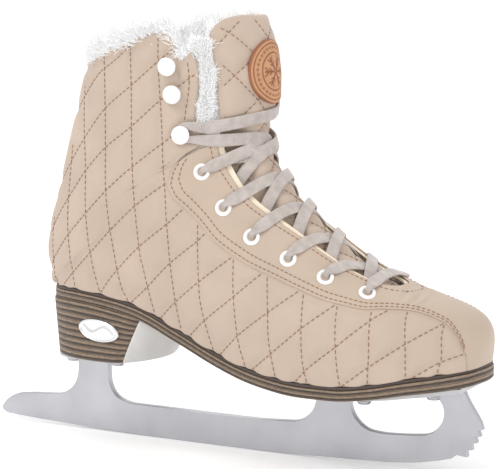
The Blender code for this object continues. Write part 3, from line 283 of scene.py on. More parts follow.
SLOPES = np.stack([station_slopes(column) for column in range(STATIONS.shape[1])], -1)
FLAT_SLOPES = SLOPES.copy()
FLAT_SLOPES[0] = 0.0


def smooth_column(u, column, flat_start=False):
    """A smooth value between the stations, with no overshoot."""
    values = STATIONS[:, column]
    slopes = (FLAT_SLOPES if flat_start else SLOPES)[:, column]
    u = np.clip(u, 0, LAST_STATION)
    i = np.minimum(u.astype(int), LAST_STATION - 1)
    t = u - i
    return ((2 * t**3 - 3 * t**2 + 1) * values[i] + (t**3 - 2 * t**2 + t) * slopes[i]
            + (3 * t**2 - 2 * t**3) * values[i + 1] + (t**3 - t**2) * slopes[i + 1])


def boot_face(u, v, side):
    """Points on the boot's outer face, for v from 0 to 1 on one side (+1 medial, -1 lateral)."""
    ridge_x = smooth_column(u, 0, True)
    ridge_z = smooth_column(u, 1)
    base_x = smooth_column(u, 2, True)
    base_z = smooth_column(u, 3)
    width, base_width, middle, widest, upper, lower = (smooth_column(u, k) for k in range(4, 10))
    upper_angle = np.clip(v, 0, 0.5) * math.pi
    closing = np.clip((u - 14.0) / (HEEL_STATION - 14.0), 0, 1)
    last_angle = math.pi * (SOLE_TURN + (0.5 - SOLE_TURN) * closing * closing * (3 - 2 * closing))
    lower_angle = np.clip(v - 0.5, 0, 0.5) * 2 * last_angle
    share_up = widest * (1 - np.abs(np.cos(upper_angle)) ** (2 / upper))
    share_down = widest + (1 - widest) * (np.sin(lower_angle) / np.sin(last_angle)) ** (2 / lower)
    half_up = width * np.sin(upper_angle) ** (2 / upper)
    tuck = 1 - (1 - np.cos(lower_angle)) / (1 - np.cos(last_angle))
    half_down = base_width + (width - base_width) * np.clip(tuck, 0, 1) ** (2 / lower)
    share = np.where(v <= 0.5, share_up, share_down)
    half = np.where(v <= 0.5, half_up, half_down)
    return np.stack([ridge_x + (base_x - ridge_x) * share, middle + side * half,
                     ridge_z + (base_z - ridge_z) * share], -1)


def boot_normal(u, v, side):
    """The boot's outward direction, with no sideways part where its two sides meet."""
    step = 1e-3
    v_in = np.clip(v, 0.012, 0.988)
    u_in = np.clip(u, 0.05, LAST_STATION - 0.01)
    along = boot_face(u_in + step, v_in, side) - boot_face(u_in - step, v_in, side)
    down = boot_face(u_in, v_in + step, side) - boot_face(u_in, v_in - step, side)
    normal = np.cross(down, along) * side[..., None]
    closing = np.where(u > HEEL_STATION - 0.1, np.clip((1 - v) / 0.012, 0, 1), 1.0)
    normal[..., 1] *= np.clip(v / 0.012, 0, 1) * np.clip(u / 0.3, 0, 1) * closing
    return normal / np.linalg.norm(normal, axis=-1, keepdims=True)


def boot_place(u, signed_v, offset=0.0):
    """Points `offset` millimetres outside the boot's face, and the outward directions there."""
    u, signed_v, offset = np.broadcast_arrays(*(np.asarray(a, float) for a in (u, signed_v, offset)))
    side = np.where(signed_v < 0, -1.0, 1.0)
    v = np.abs(signed_v)
    normal = boot_normal(u, v, side)
    return boot_face(u, v, side) + normal * offset[..., None], normal


def boot_point(u, signed_v, offset=0.0):
    return boot_place(u, signed_v, offset)[0]


def boot_uv(x, z):
    """The station and unsigned v of a side-view point, found by halving between the section lines."""
    x, z = np.broadcast_arrays(np.asarray(x, float), np.asarray(z, float))
    low = np.zeros(x.shape)
    high = np.full(x.shape, float(LAST_STATION))
    for _ in range(30):
        u = 0.5 * (low + high)
        ridge_x, ridge_z = smooth_column(u, 0, True), smooth_column(u, 1)
        base_x, base_z = smooth_column(u, 2, True), smooth_column(u, 3)
        turn = (base_x - ridge_x) * (z - ridge_z) - (base_z - ridge_z) * (x - ridge_x)
        low = np.where(turn < 0, u, low)
        high = np.where(turn < 0, high, u)
    v_low, v_high = np.zeros(x.shape), np.ones(x.shape)
    down_x, down_z = base_x - ridge_x, base_z - ridge_z
    share = ((x - ridge_x) * down_x + (z - ridge_z) * down_z) / (down_x**2 + down_z**2)
    side = np.ones(x.shape)
    for _ in range(30):
        v = 0.5 * (v_low + v_high)
        point = boot_face(u, v, side)
        along = (point[..., 0] - ridge_x) * down_x + (point[..., 2] - ridge_z) * down_z
        reached = along / (down_x**2 + down_z**2)
        v_low = np.where(reached < share, v, v_low)
        v_high = np.where(reached < share, v_high, v)
    return u, v


def u_at_height(z, v):
    """The station at which the line `v` reaches a height, on the shaft's front."""
    low, high = 12.0, LAST_STATION - 0.01
    for _ in range(40):
        u = 0.5 * (low + high)
        low, high = (u, high) if boot_face(np.array(u), np.array(abs(v)), np.array(1.0))[2] < z else (low, u)
    return u


def on_line(line, at):
    keys, values = zip(*line)
    return np.interp(at, keys, values)


def smooth_line(line, at):
    """A smooth value of a (key, value) line at `at`, with no overshoot."""
    keys, values = (np.array(part, float) for part in zip(*line))
    width = np.diff(keys)
    slope = np.diff(values) / width
    inner = np.where(slope[1:] * slope[:-1] > 0,
                     2 * slope[1:] * slope[:-1] / (slope[1:] + slope[:-1] + 1e-12), 0.0)
    tangent = np.concatenate([[slope[0]], inner, [slope[-1]]])
    at = np.clip(at, keys[0], keys[-1])
    i = np.clip(np.searchsorted(keys, at, side="right") - 1, 0, len(width) - 1)
    t = (at - keys[i]) / width[i]
    return ((2 * t**3 - 3 * t**2 + 1) * values[i] + (t**3 - 2 * t**2 + t) * width[i] * tangent[i]
            + (3 * t**2 - 2 * t**3) * values[i + 1] + (t**3 - t**2) * width[i] * tangent[i + 1])


def even_stations(start, end, step, v=0.5):
    """Stations between two, about `step` millimetres apart along the line `v`."""
    fine = np.linspace(start, end, 800)
    points = boot_face(fine, np.full(fine.shape, v), np.full(fine.shape, 1.0))
    length = np.concatenate([[0.0], np.cumsum(np.linalg.norm(np.diff(points, axis=0), axis=1))])
    return np.interp(np.linspace(0, length[-1], int(length[-1] / step) + 1), length, fine)


# ---------------------------------------------------------------- meshes

def unit(vectors):
    return vectors / np.maximum(np.linalg.norm(vectors, axis=-1, keepdims=True), 1e-12)


def add_mesh(name, points, faces, material, sharp=math.radians(50), solid=True):
    """An object from points in millimetres, shaded smooth with its sharp edges kept."""
    mesh = bpy.data.meshes.new(name)
    mesh.from_pydata((np.asarray(points, float).reshape(-1, 3) * MM).tolist(), [], faces)
    mesh.validate()
    if solid:
        face_outward(mesh)
    mesh.materials.append(material)
    mesh.shade_smooth()
    mesh.set_sharp_from_angle(angle=sharp)
    obj = bpy.data.objects.new(name, mesh)
    bpy.context.scene.collection.objects.link(obj)
    return obj


def face_outward(mesh):
    """Turns a mesh's faces outward if the volume inside them comes out negative."""
    points = np.empty(len(mesh.vertices) * 3)
    mesh.vertices.foreach_get("co", points)
    points = points.reshape(-1, 3) - points.reshape(-1, 3).mean(axis=0)
    mesh.calc_loop_triangles()
    corners = np.empty(len(mesh.loop_triangles) * 3, int)
    mesh.loop_triangles.foreach_get("vertices", corners)
    a, b, c = np.moveaxis(points[corners.reshape(-1, 3)], 1, 0)
    if np.sum(a * np.cross(b, c)) < 0:
        mesh.flip_normals()


def set_values(obj, name, values):
    """A number for each point, which a material can read by name."""
    attribute = obj.data.attributes.new(name, "FLOAT", "POINT")
    attribute.data.foreach_set("value", np.asarray(values, np.float32).ravel())


def grid_faces(row_count, column_count, start=0, wrap=False):
    """Quads of a grid of points; `wrap` joins the last column to the first."""
    rows = np.arange(row_count - 1)[:, None]
    columns = np.arange(column_count if wrap else column_count - 1)[None, :]
    after = (columns + 1) % column_count
    corners = [rows * column_count + columns, rows * column_count + after,
               (rows + 1) * column_count + after, (rows + 1) * column_count + columns]
    return (np.stack(corners, -1).reshape(-1, 4) + start).tolist()


def panel(name, outer, inner, material, keep=None):
    """A thick sheet from two grids of points, walled along its open edges."""
    row_count, column_count = outer.shape[:2]
    quads = np.array(grid_faces(row_count, column_count))
    if keep is not None:
        quads = quads[keep.ravel()]
    directed = {(a, b) for quad in quads.tolist() for a, b in zip(quad, quad[1:] + quad[:1])}
    offset = row_count * column_count
    walls = [[b, a, a + offset, b + offset] for a, b in directed if (b, a) not in directed]
    faces = quads.tolist() + (quads[:, ::-1] + offset).tolist() + walls
    used = np.zeros(2 * offset, bool)
    used[np.unique(np.array(faces))] = True
    number = np.cumsum(used) - 1
    points = np.concatenate([outer.reshape(-1, 3), inner.reshape(-1, 3)])[used]
    obj = add_mesh(name, points, number[np.array(faces)].tolist(), material)
    return obj, used


def lathe(name, profile, centre, axis, material, segments=40):
    """A turned piece: a (radius, height) profile about `axis`."""
    axis = unit(np.asarray(axis, float))
    across = unit(np.cross(axis, (0.0, 1.0, 0.0) if abs(axis[1]) < 0.9 else (1.0, 0.0, 0.0)))
    third = np.cross(axis, across)
    angles = np.linspace(0, 2 * math.pi, segments, endpoint=False)
    radial = across * np.cos(angles)[:, None] + third * np.sin(angles)[:, None]
    profile = np.array(profile)
    points = np.asarray(centre) + radial[None] * profile[:, None, :1] + axis * profile[:, None, 1:]
    return add_mesh(name, points, grid_faces(len(profile), segments, wrap=True), material, math.radians(40))


def rounded(profile, radius=0.25, steps=3):
    """A profile with each of its inner corners cut round."""
    profile = np.array(profile, float)
    result = [profile[0]]
    for before, corner, after in zip(profile, profile[1:], profile[2:]):
        back = before - corner
        on = after - corner
        reach = min(radius, 0.45 * np.linalg.norm(back), 0.45 * np.linalg.norm(on))
        first = corner + unit(back) * reach
        last = corner + unit(on) * reach
        for t in np.linspace(0, 1, steps + 1):
            result.append((1 - t) ** 2 * first + 2 * t * (1 - t) * corner + t * t * last)
    return np.array(result + [profile[-1]])


def smooth_route(points, steps):
    """Points of a smooth curve through the given points."""
    points = np.asarray(points, float)
    padded = np.vstack([2 * points[0] - points[1], points, 2 * points[-1] - points[-2]])
    result = []
    for i in range(len(points) - 1):
        a, b, c, d = padded[i:i + 4]
        for t in np.linspace(0, 1, steps, endpoint=False):
            result.append(0.5 * (2 * b + (c - a) * t + (2 * a - 5 * b + 4 * c - d) * t**2
                                 + (3 * b - a - 3 * c + d) * t**3))
    return np.array(result + [points[-1]])


def along_route(points, step):
    """Places `step` apart along a route of points, with the routes' directions there."""
    length = np.concatenate([[0.0], np.cumsum(np.linalg.norm(np.diff(points, axis=0), axis=1))])
    count = max(int(length[-1] / step), 1)
    at = (np.arange(count) + 0.5) * length[-1] / count
    places = np.stack([np.interp(at, length, points[:, k]) for k in range(points.shape[1])], -1)
    ahead = np.stack([np.interp(at + 0.4, length, points[:, k]) for k in range(3)], -1)
    behind = np.stack([np.interp(at - 0.4, length, points[:, k]) for k in range(3)], -1)
    return places, unit(ahead - behind)


def ring_spokes(first, second, count):
    """Directions round a ring, for each pair of directions that span it."""
    angles = np.arange(count) * 2 * math.pi / count
    return first[:, None] * np.cos(angles)[None, :, None] + second[:, None] * np.sin(angles)[None, :, None]


def stitches(name, routes, material, length=STITCH_LENGTH, pitch=STITCH_PITCH, radius=STITCH_RADIUS):
    """Short thread arches along routes of (x, y, z, normal) rows, lying just on the surface."""
    places, tangents = zip(*(along_route(route, pitch) for route in routes if len(route) > 1))
    places = np.concatenate(places)
    tangents = np.concatenate(tangents)
    centres = places[:, :3]
    normals = unit(places[:, 3:])
    across = unit(np.cross(tangents, normals))
    sides = 6
    spokes = ring_spokes(across, normals, sides)
    rings = []
    for share, size, sink in ((-0.5, 0.55, -0.55), (-0.32, 0.95, -0.12), (0.0, 1.0, 0.0),
                              (0.32, 0.95, -0.12), (0.5, 0.55, -0.55)):
        middle = centres + tangents * length * share + normals * radius * (0.35 + sink)
        rings.append(middle[:, None] + spokes * radius * size)
    points = np.stack(rings, 1)
    one = grid_faces(len(rings), sides, wrap=True)
    caps = [list(range(sides))[::-1], [(len(rings) - 1) * sides + k for k in range(sides)]]
    count = len(rings) * sides
    quads = (np.array(one)[None] + (np.arange(len(centres)) * count)[:, None, None]).reshape(-1, 4)
    ends = (np.array(caps)[None] + (np.arange(len(centres)) * count)[:, None, None]).reshape(-1, sides)
    return add_mesh(name, points, quads.tolist() + ends.tolist(), material)


def tufts(name, roots, directions, lengths, material, seed, radius=0.42, curl=0.5):
    """Tapered curved tufts of pile, leaning together in clumps."""
    rng = np.random.default_rng(seed)
    count = len(roots)
    clump = np.stack([np.sin(roots[:, 0] * 0.55 + 1.3 * roots[:, 2] * 0.31 + 0.5),
                      np.sin(roots[:, 1] * 0.62 + roots[:, 0] * 0.23 + 2.1),
                      np.sin(roots[:, 2] * 0.58 + roots[:, 1] * 0.37)], -1)
    bend = (clump * 0.8 + rng.normal(size=(count, 3)) * 0.55) * curl
    lean = unit(directions + rng.normal(size=(count, 3)) * 0.22)
    across = unit(np.cross(lean, rng.normal(size=(count, 3))))
    third = np.cross(lean, across)
    ring = ring_spokes(across, third, 3)
    wave = rng.uniform(0, 2 * math.pi, count)
    rings = []
    for t in (0.0, 0.3, 0.6, 0.85):
        ripple = (across * np.sin(wave + 5 * t)[:, None] - across * np.sin(wave)[:, None]) * 0.10
        middle = roots + (lean * t + bend * t * t + ripple) * lengths[:, None]
        rings.append(middle[:, None] + ring * radius * (1 - t) ** 0.6)
    last_ripple = across * (np.sin(wave + 5) - np.sin(wave))[:, None] * 0.10
    tip = roots + (lean + bend + last_ripple) * lengths[:, None]
    points = np.concatenate([np.stack(rings, 1).reshape(count, 12, 3), tip[:, None]], 1)
    quads = np.array(grid_faces(4, 3, wrap=True))
    ends = np.array([[9, 10, 12], [10, 11, 12], [11, 9, 12]])
    shift = (np.arange(count) * 13)[:, None, None]
    faces = (quads[None] + shift).reshape(-1, 4).tolist() + (ends[None] + shift).reshape(-1, 3).tolist()
    return add_mesh(name, points, faces, material, math.radians(180), solid=False)


def disc(name, place, radii, spokes, height, skirt, material):
    """A round or oval badge: `place(r, angle)` gives a point and its normal, `height` its relief."""
    angles = np.linspace(0, 2 * math.pi, spokes, endpoint=False)
    r, angle = np.meshgrid(radii, angles, indexing="ij")
    points, normals = place(r, angle)
    relief = height(r, angle)
    top = points + normals * relief[..., None]
    side = points[-1] + normals[-1] * skirt
    grid = np.concatenate([top, side[None]])
    centre = np.mean(top[0], axis=0)
    faces = grid_faces(len(grid), spokes, wrap=True)
    last = grid.shape[0] * spokes
    faces += [[last, (k + 1) % spokes, k] for k in range(spokes)]
    obj = add_mesh(name, np.vstack([grid.reshape(-1, 3), centre]), faces, material)
    return obj, relief


# ---------------------------------------------------------------- materials

def new_material(name, colour, roughness, metallic=0.0):
    """A named material with its Principled BSDF, node tree and object coordinates."""
    material = bpy.data.materials.new(name)
    material.use_nodes = True
    tree = material.node_tree
    shader = tree.nodes["Principled BSDF"]
    shader.inputs["Base Color"].default_value = (*colour, 1.0)
    shader.inputs["Roughness"].default_value = roughness
    shader.inputs["Metallic"].default_value = metallic
    place = tree.nodes.new("ShaderNodeTexCoord").outputs["Object"]
    return material, tree, shader, place


def noise(tree, place, scale, detail=3.0, stretch=None):
    """A noise texture's value, stretched along an axis if asked."""
    if stretch is not None:
        mapping = tree.nodes.new("ShaderNodeMapping")
        mapping.inputs["Scale"].default_value = stretch
        tree.links.new(place, mapping.inputs["Vector"])
        place = mapping.outputs["Vector"]
    texture = tree.nodes.new("ShaderNodeTexNoise")
    texture.inputs["Scale"].default_value = scale
    texture.inputs["Detail"].default_value = detail
    tree.links.new(place, texture.inputs["Vector"])
    return texture.outputs["Fac"]


def between(tree, factor, low, high, start=0.3, end=0.7):
    """A ramp from one colour to another as `factor` goes from start to end."""
    ramp = tree.nodes.new("ShaderNodeValToRGB")
    ramp.color_ramp.elements[0].position = start
    ramp.color_ramp.elements[0].color = (*low, 1.0)
    ramp.color_ramp.elements[1].position = end
    ramp.color_ramp.elements[1].color = (*high, 1.0)
    tree.links.new(factor, ramp.inputs["Fac"])
    return ramp.outputs["Color"]


def remap(tree, factor, low, high):
    node = tree.nodes.new("ShaderNodeMapRange")
    node.inputs["To Min"].default_value = low
    node.inputs["To Max"].default_value = high
    tree.links.new(factor, node.inputs["Value"])
    return node.outputs["Result"]


def bump(tree, shader, *layers):
    """Bumps on the shader from (height output, strength, distance) layers."""
    normal = None
    for height, strength, distance in layers:
        node = tree.nodes.new("ShaderNodeBump")
        node.inputs["Strength"].default_value = strength
        node.inputs["Distance"].default_value = distance
        tree.links.new(height, node.inputs["Height"])
        if normal is not None:
            tree.links.new(normal, node.inputs["Normal"])
        normal = node.outputs["Normal"]
    tree.links.new(normal, shader.inputs["Normal"])


def shaded(colour, factor):
    return tuple(min(1.0, c * factor) for c in colour)


def mottled(tree, shader, factor, colour, dark, light):
    """Varies the shader's colour between a darker and a lighter shade of it."""
    shades = between(tree, factor, shaded(colour, dark), shaded(colour, light))
    tree.links.new(shades, shader.inputs["Base Color"])


def leather(name, colour, mottle=0.05, roughness=0.62, sheen=0.25):
    """Nubuck leather: soft mottling, fine grain and a little sheen."""
    material, tree, shader, place = new_material(name, colour, roughness)
    cloudy = noise(tree, place, 38.0, 4.0)
    mottled(tree, shader, cloudy, colour, 1 - mottle, 1 + mottle)
    grain = noise(tree, place, 1500.0, 4.0)
    pebble = noise(tree, place, 420.0, 2.0)
    tree.links.new(remap(tree, grain, roughness - 0.08, roughness + 0.08), shader.inputs["Roughness"])
    shader.inputs["Sheen Weight"].default_value = sheen
    shader.inputs["Sheen Roughness"].default_value = 0.45
    bump(tree, shader, (grain, 0.35, 0.00012), (pebble, 0.25, 0.0003))
    return material


def thread_material():
    colour = (0.270, 0.150, 0.090)
    material, tree, shader, place = new_material("stitching_thread", colour, 0.7)
    fibre = noise(tree, place, 2600.0, 2.0, (1.0, 1.0, 0.4))
    mottled(tree, shader, fibre, colour, 0.7, 1.35)
    bump(tree, shader, (fibre, 0.4, 0.0001))
    return material


def fleece_material():
    colour = (0.93, 0.925, 0.92)
    material, tree, shader, place = new_material("white_pile", colour, 0.95)
    tone = noise(tree, place, 160.0, 3.0)
    tree.links.new(between(tree, tone, (0.95, 0.95, 0.95), (0.99, 0.99, 0.99)), shader.inputs["Base Color"])
    curls = noise(tree, place, 700.0, 4.0)
    shader.inputs["Sheen Weight"].default_value = 0.6
    # Painted light: a faint white glow (emission) brightens the pile, though it is no lamp.
    shader.inputs["Emission Color"].default_value = (1.0, 1.0, 1.0, 1.0)
    shader.inputs["Emission Strength"].default_value = 0.13
    bump(tree, shader, (curls, 0.6, 0.0006))
    return material


def enamel_material():
    material, tree, shader, place = new_material("white_enamel", (0.90, 0.90, 0.895), 0.22)
    peel = noise(tree, place, 500.0, 2.0)
    tree.links.new(remap(tree, peel, 0.16, 0.30), shader.inputs["Roughness"])
    shader.inputs["Coat Weight"].default_value = 0.6
    shader.inputs["Coat Roughness"].default_value = 0.08
    bump(tree, shader, (peel, 0.08, 0.0002))
    return material


def lace_material():
    """Ribbed flat lace: crossed yarns along the lace, from its own length and width coordinates."""
    colour = (0.470, 0.415, 0.385)
    material, tree, shader, place = new_material("ribbed_lace", colour, 0.85)
    lengthways = tree.nodes.new("ShaderNodeUVMap")
    lengthways.uv_map = "lace"
    yarns = tree.nodes.new("ShaderNodeTexWave")
    yarns.wave_type = "BANDS"
    yarns.bands_direction = "DIAGONAL"
    yarns.inputs["Scale"].default_value = 330.0
    yarns.inputs["Distortion"].default_value = 0.6
    tree.links.new(lengthways.outputs["UV"], yarns.inputs["Vector"])
    dirt = noise(tree, place, 220.0, 3.0)
    mottled(tree, shader, dirt, colour, 0.86, 1.12)
    shader.inputs["Sheen Weight"].default_value = 0.3
    bump(tree, shader, (yarns.outputs["Fac"], 0.5, 0.00018), (noise(tree, place, 3000.0, 2.0), 0.3, 0.0001))
    return material


def relief_leather(name, colour, dark):
    """Vegetable-tanned leather, darker where its `relief` is pressed in."""
    material, tree, shader, place = new_material(name, colour, 0.55)
    pressed = tree.nodes.new("ShaderNodeAttribute")
    pressed.attribute_name = "relief"
    cloudy = noise(tree, place, 260.0, 4.0)
    base = between(tree, cloudy, shaded(colour, 0.86), shaded(colour, 1.10))
    mix = tree.nodes.new("ShaderNodeMix")
    mix.data_type = "RGBA"
    tree.links.new(pressed.outputs["Fac"], mix.inputs["Factor"])
    tree.links.new(base, mix.inputs["A"])
    mix.inputs["B"].default_value = (*dark, 1.0)
    tree.links.new(mix.outputs["Result"], shader.inputs["Base Color"])
    grain = noise(tree, place, 1300.0, 4.0)
    bump(tree, shader, (grain, 0.4, 0.00015))
    return material


def layered_material():
    """Stacked brown layers: `layer` counts them, and each has its own grain."""
    material, tree, shader, place = new_material("stacked_layers", (0.2, 0.15, 0.11), 0.55)
    layer = tree.nodes.new("ShaderNodeAttribute")
    layer.attribute_name = "layer"
    fibre = noise(tree, place, 260.0, 5.0, (0.35, 0.35, 3.2))
    wobble = tree.nodes.new("ShaderNodeMath")
    wobble.operation = "MULTIPLY_ADD"
    wobble.inputs[1].default_value = 0.55
    tree.links.new(fibre, wobble.inputs[0])
    tree.links.new(layer.outputs["Fac"], wobble.inputs[2])
    wave = tree.nodes.new("ShaderNodeMath")
    wave.operation = "PINGPONG"
    wave.inputs[1].default_value = 1.0
    tree.links.new(wobble.outputs["Value"], wave.inputs[0])
    stripes = between(tree, wave.outputs["Value"], (0.085, 0.062, 0.048), (0.300, 0.218, 0.152), 0.30, 0.72)
    speckle = noise(tree, place, 900.0, 3.0, (0.5, 0.5, 2.0))
    mix = tree.nodes.new("ShaderNodeMix")
    mix.data_type = "RGBA"
    mix.blend_type = "MULTIPLY"
    mix.inputs["Factor"].default_value = 0.75
    tree.links.new(stripes, mix.inputs["A"])
    tree.links.new(between(tree, speckle, (0.55, 0.55, 0.55), (1.0, 1.0, 1.0), 0.35, 0.65), mix.inputs["B"])
    tree.links.new(mix.outputs["Result"], shader.inputs["Base Color"])
    tree.links.new(remap(tree, fibre, 0.42, 0.66), shader.inputs["Roughness"])
    bump(tree, shader, (fibre, 0.35, 0.0004), (speckle, 0.3, 0.0002))
    return material


def smooth_plastic(name, colour, roughness=0.42):
    material, tree, shader, place = new_material(name, colour, roughness)
    scuffs = noise(tree, place, 90.0, 4.0)
    tree.links.new(remap(tree, scuffs, roughness - 0.08, roughness + 0.12), shader.inputs["Roughness"])
    mottled(tree, shader, scuffs, colour, 0.95, 1.04)
    bump(tree, shader, (noise(tree, place, 1400.0, 2.0), 0.12, 0.0001))
    return material


def steel(name, colour=(0.56, 0.56, 0.58), roughness=0.34, brush=(0.6, 1.0, 14.0)):
    """Satin steel, brushed along the blade."""
    material, tree, shader, place = new_material(name, colour, roughness, 1.0)
    lines = noise(tree, place, 420.0, 4.0, brush)
    cloudy = noise(tree, place, 34.0, 3.0)
    mottled(tree, shader, cloudy, colour, 0.90, 1.06)
    tree.links.new(remap(tree, lines, roughness - 0.07, roughness + 0.10), shader.inputs["Roughness"])
    bump(tree, shader, (lines, 0.10, 0.00008))
    return material


def footbed_material():
    colour = (0.82, 0.80, 0.76)
    material, tree, shader, place = new_material("footbed_cloth", colour, 0.9)
    weave = tree.nodes.new("ShaderNodeTexVoronoi")
    weave.inputs["Scale"].default_value = 900.0
    tree.links.new(place, weave.inputs["Vector"])
    worn = noise(tree, place, 30.0, 3.0)
    mottled(tree, shader, worn, colour, 0.9, 1.05)
    shader.inputs["Sheen Weight"].default_value = 0.3
    bump(tree, shader, (weave.outputs["Distance"], 0.4, 0.0004))
    return material


QUILT_LEATHER = leather("quilted_leather", (0.505, 0.398, 0.318), 0.05, 0.66, 0.12)
FACING_LEATHER = leather("facing_leather", (0.488, 0.385, 0.300), 0.04, 0.58, 0.08)
CREAM_EDGE = leather("cream_edge", (0.840, 0.720, 0.570), 0.03, 0.6, 0.05)
THREAD = thread_material()
PILE = fleece_material()
ENAMEL = enamel_material()
LACE = lace_material()
PATCH_LEATHER = relief_leather("patch_leather", (0.860, 0.520, 0.290), (0.300, 0.110, 0.045))
LAYERS = layered_material()
RAND = smooth_plastic("dark_rand", (0.060, 0.042, 0.034), 0.55)
BREAST = smooth_plastic("heel_breast_cover", (0.60, 0.59, 0.575), 0.40)
TIP_PLASTIC = smooth_plastic("lace_tip_plastic", (0.70, 0.66, 0.62), 0.25)
BADGE_METAL = steel("badge_metal", (0.82, 0.82, 0.83), 0.22, (3.0, 3.0, 3.0))
BLADE_STEEL = steel("blade_steel", (0.50, 0.50, 0.53), 0.36)
PLATE_STEEL = steel("plate_steel", (0.50, 0.50, 0.52), 0.38, (3.0, 3.0, 3.0))
SCREW_STEEL = steel("screw_steel", (0.46, 0.46, 0.48), 0.30, (8.0, 8.0, 1.0))
FOOTBED_CLOTH = footbed_material()


def put(obj, slot, *nodes, body=SKATE):
    """Sends a piece with its body and hides the nodes it stands for; `slot` is not used."""
    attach(obj, body)
    if nodes:
        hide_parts(*nodes)
    return obj


# ---------------------------------------------------------------- camera, light and floor

CAMERA_PLACE = (0.482, -0.883, 0.25)
CAMERA_AIM = (0.0125, 0.0, 0.1155)
CAMERA_LENS = 138.7
SENSOR_WIDTH = 36.0
# Name, place, what it points at, diameter and power of each light, in metres and watts.
LIGHTS = (
    ("key_light", (-0.35, -1.0, 1.25), (0.0, 0.0, 0.1), 0.5, 7.0),
    ("side_light", (1.2, -0.35, 0.6), (0.0, 0.0, 0.1), 0.8, 2.0),
    ("back_light", (-0.5, 0.9, 1.1), (0.0, 0.0, 0.12), 0.7, 3.5),
)
FLOOR_REACH = 60.0       # metres, so that its edge lies behind the picture's top


def set_camera():
    camera = bpy.data.objects.new("camera", bpy.data.cameras.new("camera"))
    bpy.context.scene.collection.objects.link(camera)
    camera.data.lens = CAMERA_LENS
    camera.data.sensor_width = SENSOR_WIDTH
    camera.location = CAMERA_PLACE
    aim = Vector(CAMERA_AIM) - camera.location
    camera.rotation_euler = aim.to_track_quat("-Z", "Y").to_euler()
    bpy.context.scene.camera = camera


def area_light(name, place, aim, size, power):
    light = bpy.data.lights.new(name, "AREA")
    light.shape = "DISK"
    light.size = size
    light.energy = power
    obj = bpy.data.objects.new(name, light)
    bpy.context.scene.collection.objects.link(obj)
    obj.location = place
    obj.rotation_euler = (Vector(aim) - obj.location).to_track_quat("-Z", "Y").to_euler()


def set_light():
    world = bpy.data.worlds.new("studio")
    world.use_nodes = True
    world.node_tree.nodes["Background"].inputs["Color"].default_value = (1.0, 1.0, 1.0, 1.0)
    world.node_tree.nodes["Background"].inputs["Strength"].default_value = 0.92
    bpy.context.scene.world = world
    bpy.context.scene.view_settings.view_transform = "Standard"
    for light in LIGHTS:
        area_light(*light)


def set_floor():
    material, _, shader, _ = new_material("pale_floor", (0.96, 0.96, 0.96), 0.7)
    shader.inputs["Emission Color"].default_value = (1.0, 1.0, 1.0, 1.0)
    shader.inputs["Emission Strength"].default_value = 0.16
    shader.inputs["Specular IOR Level"].default_value = 0.2
    mesh = bpy.data.meshes.new("floor")
    corners = [(x * FLOOR_REACH, y * FLOOR_REACH, 0) for x, y in ((-1, -1), (1, -1), (1, 1), (-1, 1))]
    mesh.from_pydata(corners, [], [(0, 1, 2, 3)])
    mesh.materials.append(material)
    floor = bpy.data.objects.new("floor", mesh)
    bpy.context.scene.collection.objects.link(floor)


# ---------------------------------------------------------------- the lace

def both_sides(places):
    """Side, row, centre and outward direction of each place, lateral row then medial row."""
    return [(side, row, *place_on_boot(u, side * v))
            for side, _ in SIDES for row, (u, v) in enumerate(places)]


def eyelet_places():
    """Centre and outward direction of each eyelet, lateral row then medial row."""
    return both_sides(EYELETS)


def hook_places():
    return both_sides(HOOKS)


def place_on_boot(u, signed_v):
    centre = boot_point(u, signed_v)
    return centre, boot_point(u, signed_v, 1.0) - centre


def side_name(side):
    return "lateral" if side < 0 else "medial"


def tongue_face(u, v):
    """How far the tongue's front face lies inside the boot's: level with it above the laces."""
    tucked = np.clip((v / on_line(TONGUE_EDGE, u) - 0.45) / 0.3, 0, 1)
    low = TONGUE_LOW_FACE + (TONGUE_TUCK_FACE - TONGUE_LOW_FACE) * tucked
    return low * np.clip((19.6 - u) / 1.6, 0, 1) + 0.2


def shaft_front_place(y, z):
    """The stations and signed v of points on the tongue's front, found by halving."""
    low = np.full(y.shape, 18.0)
    high = np.full(y.shape, LAST_STATION - 0.01)
    for _ in range(30):
        u = 0.5 * (low + high)
        width = smooth_column(u, 4)
        upper = smooth_column(u, 8)
        v = np.arcsin(np.clip(np.abs(y) / width, 0, 0.99) ** (upper / 2)) / math.pi
        signed_v = np.copysign(v, y)
        below = boot_point(u, signed_v)[..., 2] < z
        low = np.where(below, u, low)
        high = np.where(below, high, u)
    return u, signed_v


def sole_top_z(x):
    """Height of the line where the boot meets its sole; level behind the heel."""
    u = np.linspace(0, 15.8, 400)
    return np.interp(x, smooth_column(u, 2, True)[::-1], smooth_column(u, 3)[::-1])


def sole_thickness(x):
    return SOLE_THICKNESS + TOE_EXTRA * np.clip((x - 90.0) / 45.0, 0, 1)


def outsole_bottom(x):
    return -MIDSOLE_DROP - MIDSOLE - GAP - sole_thickness(x)


def sole_bottom_z(x):
    """Height of the outsole's underside at `x`."""
    return sole_top_z(x) + outsole_bottom(np.asarray(x, float))


def heel_side_y(x, z):
    """How far out the heel's side wall lies at a height, on the lateral side."""
    share = (z - HEEL_BOTTOM) / (sole_bottom_z(x) - HEEL_SEAT_GAP - HEEL_BOTTOM)
    back = HEEL_BACK_BOTTOM + (HEEL_BACK_TOP - HEEL_BACK_BOTTOM) * share
    half = HEEL_HALF_WIDTH_BOTTOM + (HEEL_HALF_WIDTH_TOP - HEEL_HALF_WIDTH_BOTTOM) * share
    behind = np.clip((HEEL_WIDEST_X - x) / (HEEL_WIDEST_X - back), 0, 1) ** (1 / 0.9)
    return -half * np.sqrt(1 - behind**2)


def rocker(x):
    """Height of the blade's edge above the ice, with a tighter curve towards the toe."""
    return (x - ROCKER_CENTRE_X) ** 2 / (2 * ROCKER_RADIUS) + np.maximum(x - 95.0, 0) ** 2 / 300.0


